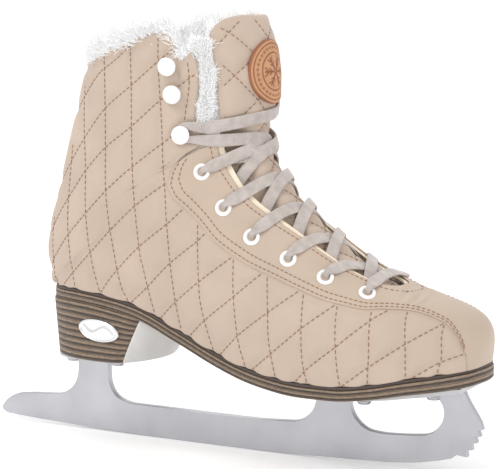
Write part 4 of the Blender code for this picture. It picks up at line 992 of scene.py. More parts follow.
def blade_outline():
    """The blade's side outline: edge, toe picks, two toe legs, the bridge and the heel leg."""
    edge_x = (-143.0, -120.0, -85.0, -50.0, -20.0, 10.0, 40.0, 75.0, 95.0, 106.0, 116.0, 124.0, 130.0)
    edge = [(x, rocker(x)) for x in edge_x]
    picks = [(131.5, 11.0), (137.8, 10.4), (137.4, 14.0), (140.6, 14.4), (140.0, 17.8), (143.0, 18.3),
             (142.0, 21.4), (144.8, 21.8), (143.6, 24.6), (146.0, 25.4)]
    toe_leg = [(145.0, 28.8), (142.6, 32.6), (139.6, 37.0), (137.0, 41.5)]
    plate_line = [(135.5, None), (118.0, None)]
    window = [(121.6, 39.6), (124.6, 35.8), (125.4, 31.5), (124.4, 26.8), (121.0, 22.4), (116.0, 19.6),
              (106.0, 18.4), (92.0, 17.6), (83.0, 18.4), (77.6, 21.8), (74.0, 26.8), (72.8, 32.0),
              (73.4, 36.2)]
    ball_top = [(75.5, None), (51.5, None)]
    bridge = [(53.4, 35.5), (53.6, 31.0), (51.8, 25.6), (47.6, 21.2), (42.0, 18.6), (20.0, 17.2),
              (-30.0, 17.2), (-62.0, 17.4), (-70.0, 20.6), (-73.8, 27.0), (-74.2, 38.0)]
    under_heel_plate = HEEL_BOTTOM - PLATE_THICKNESS - 2 * GAP
    heel_top = [(-72.5, under_heel_plate), (-95.5, under_heel_plate)]
    tail = [(-93.8, 38.0), (-94.0, 31.0), (-96.0, 25.0), (-100.5, 20.6), (-106.5, 18.0), (-124.0, 16.8),
            (-136.0, 15.4), (-142.5, 11.4), (-145.4, 7.8), (-146.0, 5.6)]
    outline = edge + picks + toe_leg + plate_line + window + ball_top + bridge + heel_top + tail
    plate_clearance = PLATE_THICKNESS + 2 * GAP
    points = [(x, float(sole_bottom_z(x)) - plate_clearance if z is None else z) for x, z in outline]
    return points


def lace_step(points, u, signed_v, offset, half_width, half_thickness, facing):
    """Adds one control point of the lace; `facing` is +1 or -1 for the strap's outward side."""
    centre = boot_point(u, signed_v, offset)
    normal = boot_point(u, signed_v, offset + 1.0) - centre
    points.append((centre, normal * facing, half_width, half_thickness))


def lace_crossing(points, start, end, facing, over, start_side):
    """From under one facing, across the tongue, to the top of the other facing."""
    u0 = start[0]
    u1, v1 = end
    edge0 = on_line(FACING_EDGE, u0)
    edge1 = on_line(FACING_EDGE, u1)
    flat = (LACE_HALF_WIDTH, LACE_HALF_THICKNESS)
    lift = 1.0 if over else 0.0

    def at(signed_share):
        """Station and signed v, for a share from -1 (start edge) to 1 (end edge)."""
        t = 0.5 + 0.5 * signed_share
        share_v = edge0 if signed_share < 0 else edge1
        return u0 + (u1 - u0) * (0.16 + 0.68 * t), start_side * -signed_share * share_v

    u, v = at(-1.0)
    lace_step(points, u, v, -3.4, *flat, facing)
    for share, offset in ((-0.6, -2.0 + 0.5 * lift), (-0.22, -1.3 + 1.7 * lift), (0.22, -1.3 + 1.7 * lift),
                          (0.6, -0.1 + 0.6 * lift), (0.92, 1.3)):
        u, v = at(share)
        lace_step(points, u, v, offset, *flat, facing)
    u = u1 - (u1 - u0) * 0.07
    lace_step(points, u, -start_side * (edge1 + 0.45 * (v1 - edge1)), 1.7, *flat, facing)


def lace_eyelet(points, place, side, facing):
    """Down through an eyelet and back towards the throat beneath the facing."""
    u, v = place
    centre, normal = place_on_boot(u, side * v)
    edge = on_line(FACING_EDGE, u)
    inward = boot_point(u, side * (v - 0.02)) - centre
    inward /= np.linalg.norm(inward)
    round_lace = (LACE_GATHERED, LACE_GATHERED)
    points.append((centre + normal * 2.7 + inward * 2.6, normal * facing, 1.9, 0.95))
    points.append((centre + normal * 2.0 + inward * 0.6, (normal - inward) * facing, *round_lace))
    points.append((centre - normal * 0.6, -inward * facing, *round_lace))
    points.append((centre - normal * 4.4 + inward * 0.3, (-inward - normal) * facing, *round_lace))
    points.append((centre - normal * 5.2 + inward * 2.2, -normal * facing, 1.9, 0.95))
    middle_v = 0.5 * (v + edge)
    lace_step(points, u + 0.05, side * middle_v, -3.9, LACE_HALF_WIDTH, LACE_HALF_THICKNESS, -facing)


def lace_route():
    """Control points of the one lace, from one tucked end to the other through both eyelet rows."""
    first = lace_half(-1)
    second = lace_half(1)
    bar = []
    for share in (-0.9, -0.3, 0.3, 0.9):
        lace_step(bar, EYELETS[0][0] + 0.05, share * 0.14, 1.6, LACE_HALF_WIDTH, LACE_HALF_THICKNESS, 1)
    return first[::-1] + bar + second


def lace_half(side):
    """One half of the lace: the toe eyelet on `side`, then crossing over at every row to the hooks."""
    points = []
    facing = 1
    for row, place in enumerate(EYELETS):
        lace_eyelet(points, place, side, facing)
        facing = -facing
        if row + 1 < len(EYELETS):
            lace_crossing(points, place, EYELETS[row + 1], facing, side < 0, side)
            side = -side
    if side < 0:
        lace_strand(points, HOOK_STRAND_IN, side, facing)
        around_hook(points, 0, -side, facing, 90.0, -70.0)
        lace_tail(points, 0, -side, facing)
    else:
        lace_strand(points, HOOK_STRAND_OUT, side, facing)
        around_hook(points, 0, -side, facing, -90.0, 90.0)
        lace_strand(points, HOOK_STRAND_TOP, -side, facing)
        around_hook(points, 1, side, facing, 90.0, -70.0)
        lace_tail(points, 1, side, facing)
    return points


def lace_strand(points, strand, side, facing):
    """A strand across the shaft's front from `side`, given by its heights."""
    for v, z, offset in strand:
        lace_step(points, u_at_height(z, v), side * -v, offset, LACE_HALF_WIDTH, LACE_HALF_THICKNESS, facing)


def around_hook(points, hook, side, facing, start, end):
    """The gathered lace around a hook's neck; angles run from below (-90) over the back (0) to above (90)."""
    centre, normal = place_on_boot(HOOKS[hook][0], side * HOOKS[hook][1])
    back = boot_point(HOOKS[hook][0], side * (HOOKS[hook][1] + 0.02)) - centre
    back /= np.linalg.norm(back)
    up = np.cross(normal, back) * side
    reach = HOOK_NECK + LACE_GATHERED + 0.35
    if abs(start) == 90.0:
        points.append((centre + normal * HOOK_LACE_LIFT - back * 3.6 + up * math.copysign(reach + 0.3, start),
                       normal * facing, 1.9, 0.8))
    for angle in np.linspace(start, end, 7):
        turn = math.radians(angle)
        around = back * math.cos(turn) + up * math.sin(turn)
        place = centre + normal * HOOK_LACE_LIFT + around * reach
        points.append((place, normal * facing, LACE_GATHERED, 1.05))
    if abs(end) == 90.0:
        points.append((centre + normal * HOOK_LACE_LIFT - back * 3.6 + up * math.copysign(reach + 0.3, end),
                       normal * facing, 1.9, 0.8))


def lace_tail(points, hook, side, facing):
    """The free end, hanging down the inner side of the boot below its hook."""
    start = boot_point(*HOOKS[hook])
    for drop, lift, half_width in ((8.0, 2.0, 2.2), (16.0, 1.6, 2.9), (28.0, 1.4, 3.3), (42.0, 1.4, 3.3),
                                   (56.0, 1.4, 3.3), (70.0, 1.4, 3.3), (TAIL_LENGTH, 1.4, 1.6)):
        u, v = boot_uv(start[0] - 4.0 - 0.1 * drop, start[2] - drop)
        lace_step(points, float(u), side * float(v), lift, half_width, LACE_HALF_THICKNESS, facing)

def fine_sweep_line(controls, steps=7):
    """A smooth centreline with its outward directions and half sizes, from the lace's controls."""
    rows = np.array([(*c[0], *unit(np.asarray(c[1], float)), c[2], c[3]) for c in controls])
    fine = smooth_route(rows, steps)
    places = fine[:, :3]
    tangents = unit(np.gradient(places, axis=0))
    normals = fine[:, 3:6]
    normals = unit(normals - tangents * np.sum(normals * tangents, axis=1)[:, None])
    return places, tangents, normals, fine[:, 6:]


def ribbed_profile(ribs, per_rib=4):
    """Across and out shares round a flat ribbed strap."""
    count = ribs * per_rib
    across = -1 + 2 * (np.arange(count) + 0.5) / count
    swell = (1 - np.abs(across) ** 6) ** 0.5
    out = swell * (0.80 + 0.20 * np.abs(np.sin(across * ribs * math.pi / 2)) ** 0.7)
    return np.concatenate([np.stack([across, -out], -1), np.stack([across[::-1], out[::-1]], -1)])


def lace_mesh(controls):
    places, tangents, normals, sizes = fine_sweep_line(controls)
    profile = ribbed_profile(LACE_RIBS)
    across = np.cross(tangents, normals)
    points = (places[:, None] + across[:, None] * (sizes[:, :1, None] * profile[None, :, :1])
              + normals[:, None] * (sizes[:, 1:, None] * profile[None, :, 1:]))
    count = len(profile)
    faces = grid_faces(len(places), count, wrap=True)
    last = (len(places) - 1) * count
    faces += [list(range(count))[::-1], list(range(last, last + count))]
    obj = add_mesh("shoe_lace", points, faces, LACE)
    length = np.concatenate([[0.0], np.cumsum(np.linalg.norm(np.diff(places, axis=0), axis=1))])
    layer = obj.data.uv_layers.new(name="lace")
    corner = np.empty(len(obj.data.loops), int)
    obj.data.loops.foreach_get("vertex_index", corner)
    ring, spot = corner // count, corner % count
    places_on_lace = np.stack([profile[spot, 0] * LACE_HALF_WIDTH * MM, length[ring] * MM], -1)
    layer.data.foreach_set("uv", places_on_lace.ravel())
    return obj, places, length[-1] * MM


def make_lace():
    """The one lace through every eyelet, with its two tips."""
    controls = lace_route()
    obj, places, length = lace_mesh(controls)
    put(obj, "lace_fabric", "lace")
    for number, (end, before) in enumerate(((controls[0], controls[1]), (controls[-1], controls[-2]))):
        profile = rounded([(0.0, TIP_LENGTH), (TIP_RADIUS, TIP_LENGTH), (TIP_RADIUS, GAP),
                           (TIP_RADIUS * 0.4, GAP), (0.0, GAP)], 0.4)
        tip = lathe(f"lace_end_tip_{number + 1}", profile, end[0], end[0] - before[0], TIP_PLASTIC, 20)
        put(tip, "lace_tip_plastic", f"lace_tip_{number + 1}")


# ---------------------------------------------------------------- quilted quarters

def extended(line, reach):
    """A side-view line, run on past both ends."""
    points = np.array(line, float)
    first = points[0] + unit(points[0] - points[1]) * reach
    last = points[-1] + unit(points[-1] - points[-2]) * reach
    return np.vstack([first, points, last])


def quilt_seams():
    """Every quilt seam as a run of (u, v) places on the boot."""
    runs = []
    for line in STEEP_SEAMS + RISING_SEAMS:
        side_view = smooth_route(extended(line, SEAM_REACH), 24)
        u, v = boot_uv(side_view[:, 0], side_view[:, 1])
        inside = (v > 0.004) & (v < 0.996) & (u > 0.2) & (u < LAST_STATION - 0.3)
        runs.append(np.stack([u[inside], v[inside]], -1))
    return runs


def quarter_edge(u):
    """The quarter's front edge: under the facing, then the shaft's own edge."""
    under_facing = smooth_line(FACING_SEAM, np.minimum(u, FACING_TOP)) - QUARTER_TUCK
    return np.where(u < FACING_TOP, under_facing, smooth_line(QUARTER_FRONT, u))


def collar(v):
    return smooth_line(COLLAR, v)


def fine_shares(count, ends, total):
    """Shares from 0 to 1 with closer steps at the ends listed in `ends`."""
    near = np.array([0.0, 0.12, 0.3, 0.55, 0.9, 1.4, 2.0]) / total
    start = near if 0 in ends else np.array([0.0])
    stop = 1 - near[::-1] if 1 in ends else np.array([1.0])
    middle = np.linspace(start[-1], stop[0], count + 2)[1:-1]
    return np.concatenate([start, middle, stop])


def nearest(points, targets):
    """Distance from each point to the nearest target."""
    tree = kdtree.KDTree(len(targets))
    for i, target in enumerate(targets):
        tree.insert(target, i)
    tree.balance()
    return np.array([tree.find(p)[2] for p in points.reshape(-1, 3)]).reshape(points.shape[:-1])


def roll_off(distance, radius):
    """How far a rounded edge has fallen, by the distance from the edge."""
    t = np.clip(1 - distance / radius, 0, 1)
    return radius * (1 - np.sqrt(np.maximum(1 - t * t, 0)))


def dense(run, step=0.35):
    """A (u, v) run on the lateral side, resampled to even steps, with points on the boot."""
    points = boot_point(run[:, 0], -run[:, 1])
    rows = np.column_stack([points, run])
    length = np.concatenate([[0.0], np.cumsum(np.linalg.norm(np.diff(points, axis=0), axis=1))])
    at = np.arange(0, length[-1], step)
    return np.stack([np.interp(at, length, rows[:, k]) for k in range(5)], -1)


def quarter_grid():
    """The quarter's (u, v) grid: straight rows to the ankle, then rows that spread to the collar."""
    shares = fine_shares(104, (0, 1), 130.0)
    low = even_stations(1.52, 19.5, 1.25, 0.6)
    low = np.unique(np.concatenate([low[(low < 17.9) | (low > 18.6)], np.linspace(17.9, 18.6, 36)]))
    climb = fine_shares(44, (1,), 55.0)
    v_low = quarter_edge(low)[:, None] + (1 - quarter_edge(low))[:, None] * shares[None, :]
    u_low = np.repeat(low[:, None], len(shares), 1)
    top = np.full(len(shares), 24.0)
    for _ in range(12):
        v_top = quarter_edge(top) + (1 - quarter_edge(top)) * shares
        top = collar(v_top)
    u_high = 19.5 + (top[None, :] - 19.5) * climb[1:, None]
    edge = quarter_edge(u_high)
    v_high = edge + (1 - edge) * shares[None, :]
    return np.concatenate([u_low, u_high]), np.concatenate([v_low, v_high])


def puff_at(distance):
    return QUILT_PUFF * (1 - np.exp(-(distance / QUILT_SOFTNESS) ** 2))


def edge_run(line, start, end, inset=0.0):
    """A run along a (u, v) line, shifted in v."""
    u = np.linspace(start, end, 260)
    return np.stack([u, smooth_line(line, u) + inset], -1)


def row_behind_collar(drop):
    """A run under the collar."""
    v = np.linspace(0.372, 0.99, 240)
    return np.stack([collar(v) - drop, v], -1)


def make_quarters():
    """Both quilted quarters with their seams' thread."""
    u, v = quarter_grid()
    base = boot_point(u, -v)
    seams = [dense(run) for run in quilt_seams()]
    seams = [run[(run[:, 4] > quarter_edge(run[:, 3]) + 0.010) & (run[:, 3] < collar(run[:, 4]) - 0.12)]
             for run in seams]
    front_row = dense(edge_run(QUARTER_FRONT, 18.7, 23.4, 0.030))
    border = [dense(edge_run(FACING_SEAM, 1.6, 18.1, 0.006)), front_row, dense(row_behind_collar(0.34))]
    quilted = nearest(base, np.concatenate(seams + border)[:, :3])
    rim = np.concatenate([base[-1], base[:, 0][u[:, 0] > 18.2]])
    edge_distance = nearest(base, rim)
    back_distance = nearest(base, base[:, -1])
    outside = np.minimum(edge_distance / 3.0, 1)
    height = (puff_at(quilted) - 0.15) * outside + 0.05
    height -= roll_off(edge_distance, 1.1) + 0.7 * roll_off(back_distance, 0.9)
    facing_side = (u < 18.3) & (v < quarter_edge(u) + 0.012)
    height = np.where(facing_side, np.minimum(height, 0.0), height)
    inner = -LEATHER + roll_off(edge_distance, 0.8)
    for side, name in SIDES:
        sign = side * 1.0
        outer_points = boot_point(u, sign * v, height)
        inner_points = boot_point(u, sign * v, inner)
        if side > 0:
            outer_points, inner_points = outer_points[:, ::-1], inner_points[:, ::-1]
        obj, _ = panel(f"{name}_quilted_quarter", outer_points, inner_points, QUILT_LEATHER)
        put(obj, "quilted_leather", f"quarter_{name}")
        routes = []
        for run in seams + [front_row]:
            if len(run) > 20:
                points, normals = boot_place(run[:, 3], sign * run[:, 4], 0.0)
                gap = np.linalg.norm(np.diff(points, axis=0), axis=1) > 2.5
                for part in np.split(np.column_stack([points, normals]), np.flatnonzero(gap) + 1):
                    routes.append(part)
        put(stitches(f"{name}_quilt_stitching", routes, THREAD), "quilted_leather")


# ---------------------------------------------------------------- smooth toe and facings

# How far the facing stands out, its stitch rows' distances from its edges in v, and the toe's creases
# as (station, depth, phase).
FACING_LIFT = 0.9
OUTER_ROW = 0.012
INNER_ROW = 0.034
EDGE_ROW = 0.020
WRINKLES = ((4.10, 0.16, 0.0), (4.45, 0.20, 0.8), (4.85, 0.15, 2.0))


def vamp_wrinkles(u, signed_v):
    """Soft creases across the foot behind the toe."""
    depth = np.zeros(u.shape)
    for at, size, phase in WRINKLES:
        wander = at + 0.10 * np.sin(signed_v * 22.0 + phase)
        fade = np.exp(-((np.abs(signed_v) - 0.09) / 0.085) ** 2)
        depth -= size * 2.2 * fade * np.exp(-((u - wander) / 0.085) ** 2)
        depth += size * 1.6 * fade * np.exp(-((u - wander - 0.17) / 0.11) ** 2)
    return depth


def facing_grid():
    u = np.concatenate([even_stations(0.0, TOE_SEAM, 0.9, 0.5), even_stations(TOE_SEAM, 18.25, 1.0, 0.3)[1:]])
    inner = np.linspace(0, 1, 15)
    middle = 1 + fine_shares(34, (0, 1), 22.0)
    outer = 2 + np.linspace(0, 1, 40)
    half = np.concatenate([inner, middle[1:], outer[1:]])
    column = np.concatenate([-half[:0:-1], half])
    size = np.abs(column)[None, :]
    edge = smooth_line(FACING_EDGE, u)[:, None]
    seam = smooth_line(FACING_SEAM, np.maximum(u, TOE_SEAM))[:, None]
    foot = np.where(u <= TOE_SEAM, 1.0, smooth_line(FACING_SEAM, np.maximum(u, TOE_SEAM)))[:, None]
    v = np.where(size <= 1, size * edge, edge + (seam - edge) * (size - 1))
    v = np.where(size > 2, seam + (foot - seam) * (size - 2), v)
    centre = 0.5 * (size[:, 1:] + size[:, :-1])
    row = u[:-1, None]
    keep = ((row < THROAT_END) | (centre > 1)) & ((row < TOE_SEAM) | (centre < 2))
    return np.repeat(u[:, None], len(column), 1), v * np.sign(column), keep


def make_facing():
    """The smooth toe with its two facings, their seams and the cream lining at their edge."""
    u, signed_v, keep = facing_grid()
    base = boot_point(u, signed_v)
    throat_u = np.linspace(THROAT_END, 18.25, 600)
    seam_u = np.linspace(TOE_SEAM, 18.25, 600)
    top_v = np.linspace(smooth_line(FACING_EDGE, 18.25), smooth_line(FACING_SEAM, 18.25), 60)
    toe_v = np.linspace(smooth_line(FACING_SEAM, TOE_SEAM), 1.0, 80)
    borders = []
    for sign in (-1.0, 1.0):
        borders.append(boot_point(throat_u, sign * smooth_line(FACING_EDGE, throat_u)))
        borders.append(boot_point(seam_u, sign * smooth_line(FACING_SEAM, seam_u)))
        borders.append(boot_point(np.full(60, 18.25), sign * top_v))
        borders.append(boot_point(np.full(80, TOE_SEAM), sign * toe_v))
    distance = nearest(base, np.concatenate(borders))
    height = FACING_LIFT - roll_off(distance, 0.9) + vamp_wrinkles(u, signed_v)
    inner = np.where(distance < 3.0, 0.06, -0.3)
    inner = np.minimum(inner, height - 0.05)
    obj, _ = panel("smooth_toe_and_facings", boot_point(u, signed_v, height), boot_point(u, signed_v, inner),
                   FACING_LEATHER, keep)
    put(obj, "smooth_leather", "vamp_facing")
    routes = []
    for sign in (-1.0, 1.0):
        for row in (facing_row(OUTER_ROW, sign), facing_row(INNER_ROW, sign), edge_row(EDGE_ROW, sign),
                    throat_arc(sign)):
            routes.append(row)
    put(stitches("facing_stitching", routes, THREAD, 1.9, 2.6, 0.27), "smooth_leather")
    make_cream_edge()


def on_facing(u, signed_v):
    points, normals = boot_place(u, signed_v, FACING_LIFT)
    return np.column_stack([points, normals])


def facing_row(inset, sign):
    """A stitch row beside the facing's seam, round its top corner."""
    u = np.linspace(TOE_SEAM + 0.15, 17.9, 500)
    return on_facing(u, sign * (smooth_line(FACING_SEAM, u) - inset))


def edge_row(inset, sign):
    u = np.linspace(6.0, 18.0, 400)
    return on_facing(u, sign * (smooth_line(FACING_EDGE, u) + inset))


def throat_arc(sign):
    """Stitches round the throat's end."""
    turn = np.linspace(0, math.pi / 2, 60)
    u = 6.0 - 1.35 * np.cos(turn)
    v = (smooth_line(FACING_EDGE, 6.0) + EDGE_ROW) * np.sin(turn)
    return on_facing(u, sign * np.maximum(v, 0.002))


def make_cream_edge():
    """The pale lining that shows along the facings' inner edge."""
    u = even_stations(THROAT_END - 0.15, 18.2, 1.0, 0.25)
    across = np.linspace(0, 1, 9)
    for sign, name in SIDES:
        edge = smooth_line(FACING_EDGE, u)
        v = np.maximum(edge[:, None] - 0.020 + 0.034 * across[None, :], 0.002)
        u_grid = np.repeat(u[:, None], len(across), 1)
        fall = roll_off(np.abs(across) * 3.2, 0.6)[None, :]
        top = boot_point(u_grid, sign * v, -0.45 - fall)
        under = boot_point(u_grid, sign * v, -1.7)
        if sign > 0:
            top, under = top[:, ::-1], under[:, ::-1]
        obj, _ = panel(f"{name}_facing_lining", top, under, CREAM_EDGE)
        put(obj, "smooth_leather")


# ---------------------------------------------------------------- tongue

def tongue_stations():
    return even_stations(4.4, 25.2, 1.3, 0.02)


def inflate(grid, pinned):
    """Blows a sheet of cloth up between its pinned seams, and returns its points."""
    scene = bpy.context.scene
    mesh = bpy.data.meshes.new("cloth")
    mesh.from_pydata((grid.reshape(-1, 3) * CLOTH_SCALE).tolist(), [], grid_faces(*grid.shape[:2]))
    cloth = bpy.data.objects.new("cloth", mesh)
    scene.collection.objects.link(cloth)
    seams = cloth.vertex_groups.new(name="seams")
    seams.add(np.flatnonzero(pinned.ravel()).tolist(), 1.0, "REPLACE")
    modifier = cloth.modifiers.new("padding", "CLOTH")
    modifier.settings.vertex_group_mass = "seams"
    modifier.settings.mass = 0.1
    modifier.settings.use_pressure = True
    modifier.settings.uniform_pressure_force = CLOTH_PRESSURE
    modifier.settings.effector_weights.gravity = 0.0
    modifier.point_cache.frame_end = CLOTH_FRAMES
    for frame in range(1, CLOTH_FRAMES + 1):
        scene.frame_set(frame)
    blown = cloth.evaluated_get(bpy.context.evaluated_depsgraph_get()).data
    points = np.empty(len(blown.vertices) * 3)
    blown.vertices.foreach_get("co", points)
    bpy.data.objects.remove(cloth)
    scene.frame_set(1)
    moved = points.reshape(grid.shape) / CLOTH_SCALE - grid
    far = np.linalg.norm(moved, axis=-1, keepdims=True)
    return grid + moved * np.minimum(1, CLOTH_CAP / np.maximum(far, 1e-9))


def make_tongue():
    """The padded tongue, quilted in diamonds, from the throat to its free top."""
    stations = tongue_stations()
    shares = np.concatenate([-fine_shares(40, (1,), 36.0)[:0:-1], fine_shares(40, (1,), 36.0)])
    top = smooth_line(TONGUE_TOP, np.abs(shares) * 0.275)
    t = np.clip((stations - 22.0) / 3.2, 0, 1)[:, None]
    u = stations[:, None] + (top - 25.2)[None, :] * t**2
    signed_v = smooth_line(TONGUE_EDGE, stations)[:, None] * shares[None, :]
    face = tongue_face(u, np.abs(signed_v))
    base = boot_point(u, signed_v, -face)
    steps = np.linalg.norm(np.diff(base, axis=1), axis=2)
    across = np.concatenate([np.zeros((len(u), 1)), np.cumsum(steps, axis=1)], 1)
    middle = len(shares) // 2
    across = across - across[:, middle:middle + 1]
    spine = base[:, middle]
    along = np.concatenate([[0.0], np.cumsum(np.linalg.norm(np.diff(spine, axis=0), axis=1))])
    along = along - np.interp(TONGUE_CROSSING[1], spine[:, 2], along) + TONGUE_CROSSING[1]
    along = np.repeat(along[:, None], len(shares), 1)
    rise = diamond_distance(across, along, TONGUE_RISE)
    fall = diamond_distance(across, along, TONGUE_FALL)
    border = np.concatenate([base[:, 0], base[:, -1], base[-1], base[0]])
    edge_distance = nearest(base, border)
    under_facing = np.clip((18.6 - u) / 1.0, 0, 1) * np.clip((np.abs(shares)[None, :] - 0.55) / 0.2, 0, 1)
    height = -face - 0.25 - roll_off(edge_distance, 1.8)
    pinned = (np.minimum(rise, fall) < 0.7) | (edge_distance < 2.2) | (under_facing > 0.4)
    back = -face - TONGUE_PAD + roll_off(edge_distance, 1.8)
    front_points = inflate(boot_point(u, signed_v, height), pinned)
    obj, _ = panel("quilted_tongue", front_points, boot_point(u, signed_v, back), QUILT_LEATHER)
    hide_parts("tongue_lower", "tongue_upper")
    bend_with_tongue(obj)
    seams = tongue_seams(across, along, u, signed_v)
    thread = stitches("tongue_stitching", seams, THREAD)
    bend_with_tongue(thread)
    make_tongue_fleece(stations, shares, u, signed_v, face)


def diamond_distance(across, along, slope):
    """Distance to the nearest line of a family with this slope."""
    offset = along - TONGUE_CROSSING[1] - slope * (across - TONGUE_CROSSING[0])
    return np.abs((offset + TONGUE_DIAMOND / 2) % TONGUE_DIAMOND - TONGUE_DIAMOND / 2) / math.hypot(1, slope)


def tongue_seams(across, along, u, signed_v):
    """The diamond lines on the tongue's front, as stitch routes."""
    routes = []
    a_limit = 30.0
    rows = along[:, 0]
    for slope in (TONGUE_RISE, TONGUE_FALL):
        for k in range(-16, 6):
            a = np.linspace(-a_limit, a_limit, 260)
            s = TONGUE_CROSSING[1] + slope * (a - TONGUE_CROSSING[0]) + TONGUE_DIAMOND * k
            inside = (s > rows[0] + 2) & (s < rows[-1] - 3)
            if inside.sum() < 8:
                continue
            row = np.interp(s[inside], rows, np.arange(len(rows)))
            low = np.minimum(row.astype(int), len(rows) - 2)
            part = (row - low)[:, None]
            places = []
            for i, mix, wanted in zip(low, part[:, 0], a[inside]):
                across_here = across[i] * (1 - mix) + across[i + 1] * mix
                if abs(wanted) > across_here[-1] - 2.5:
                    places.append(None)
                    continue
                column = np.interp(wanted, across_here, np.arange(across.shape[1]))
                j = min(int(column), across.shape[1] - 2)
                c = column - j
                values = []
                for grid in (u, signed_v):
                    first = grid[i, j] * (1 - c) + grid[i, j + 1] * c
                    second = grid[i + 1, j] * (1 - c) + grid[i + 1, j + 1] * c
                    values.append(first * (1 - mix) + second * mix)
                places.append(values)
            run = []
            for value in places + [None]:
                if value is not None:
                    run.append(value)
                elif run:
                    if len(run) > 6:
                        routes.append(tongue_route(np.array(run)))
                    run = []
    return routes


def tongue_route(run):
    face = tongue_face(run[:, 0], np.abs(run[:, 1]))
    points, normals = boot_place(run[:, 0], run[:, 1], -face - 0.2)
    return np.column_stack([points, normals])


def bend_with_tongue(obj):
    """Cloth that crosses the fold: bakes its transform into its points."""
    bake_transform(obj)


def make_tongue_fleece(stations, shares, u, signed_v, face):
    """The fleece behind the tongue, with pile on its back and along its rim."""
    back = -face - TONGUE_PAD - 2 * GAP
    edge = 1 - np.abs(shares)[None, :] ** 8 * np.ones((len(stations), 1))
    front = boot_point(u, signed_v, back)
    rear = boot_point(u, signed_v, back - TONGUE_FLEECE * edge - 0.1)
    obj, _ = panel("tongue_fleece", front, rear, PILE)
    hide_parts("tongue_lower_fleece", "tongue_upper_fleece")
    bend_with_tongue(obj)
    count = TONGUE_TUFTS
    i = random.uniform(len(stations) * 0.45, len(stations) - 1.001, count)
    j = random.uniform(0, len(shares) - 1.001, count)
    rim = random.uniform(size=count)
    i = np.where(rim < 0.22, len(stations) - 1.001 - random.uniform(0, 0.8, count), i)
    either_edge = np.where(random.uniform(size=count) < 0.5, 0.0, len(shares) - 1.001)
    j = np.where((rim > 0.22) & (rim < 0.50), either_edge, j)
    pick = (i.astype(int), j.astype(int))
    spots_u, spots_v = u[pick], signed_v[pick]
    depth = back[pick] - random.uniform(0.2, TONGUE_FLEECE, count)
    roots, normals = boot_place(spots_u, spots_v, depth)
    roots = roots + random.normal(size=(count, 3)) * 0.5
    sideways = np.stack([np.zeros(count), np.sign(spots_v), np.zeros(count)], -1)
    at_edge = (j < 1) | (j > len(shares) - 3)
    at_top = i > len(stations) - 3
    lean = -normals + sideways * at_edge[:, None] * 1.6 + np.array([0, 0, 1.0]) * at_top[:, None] * 1.6
    pile = tufts("tongue_pile", roots, unit(lean), random.uniform(3.0, 5.0, count), PILE, 11)
    bend_with_tongue(pile)


def make_patch():
    """The round leather patch: rings, a dotted border and a snowflake, all pressed in."""
    flat = PATCH_RADIUS - PATCH_ROUNDING
    rim_steps = np.sin(np.linspace(0.2, 1, 6) * math.pi / 2)
    radii = np.concatenate([np.linspace(0.6, flat, 64), flat + PATCH_ROUNDING * rim_steps])

    def place(r, angle):
        across = r * np.cos(angle)
        up = PATCH_CENTRE_Z + r * np.sin(angle)
        y = SHAFT_FRONT_RADIUS * np.sin(across / SHAFT_FRONT_RADIUS)
        u, signed_v = shaft_front_place(y, up)
        points, normals = boot_place(u, signed_v, 2 * GAP + 0.5)
        return points, normals

    obj, pressed = disc("snowflake_patch", place, radii, 120, patch_relief, -0.9, PATCH_LEATHER)
    dark = np.clip(-(pressed - PATCH_THICKNESS + 0.2) / 0.5, 0, 1)
    rim = np.clip((radii - PATCH_RADIUS + 1.3) / 0.6, 0, 1)[:, None]
    values = np.concatenate([np.maximum(dark, rim).ravel(), np.ones(120), [0.0]])
    set_values(obj, "relief", values)
    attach(obj, FLAP)
    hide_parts("tongue_patch")


def patch_relief(r, angle):
    """The patch's pressed marks, as a height above its back."""
    height = np.full(r.shape, PATCH_THICKNESS)

    def groove(distance, width, depth):
        return depth * np.exp(-(distance / width) ** 2)

    height = height - groove(r - 14.3, 0.28, 0.45) - groove(r - 9.6, 0.28, 0.45)
    dots = np.abs((angle * 30 / (2 * math.pi)) % 1 - 0.5) / 30 * 2 * math.pi * 12.2
    height -= 0.5 * np.exp(-((r - 12.2) / 0.55) ** 2 - (dots / 0.6) ** 2)
    turn = (angle + math.pi / 6) % (math.pi / 3) - math.pi / 6
    off_arm = np.abs(r * np.sin(turn))
    on_arm = r * np.cos(turn)
    height -= groove(off_arm, 0.42, 0.5) * (on_arm < 8.0)
    for at, length in ((3.2, 1.8), (5.4, 2.2)):
        branch = np.abs(off_arm - (on_arm - at) * 0.9)
        height -= 0.45 * np.exp(-(branch / 0.40) ** 2) * (off_arm < length) * (on_arm > at)
    return height - roll_off(PATCH_RADIUS - r, PATCH_ROUNDING) - 0.5


# ---------------------------------------------------------------- fleece lining

# How many tufts stand on each stretch, per side.
COLLAR_TUFTS = 8500
FRONT_TUFTS = 5200
INNER_TUFTS = 7000

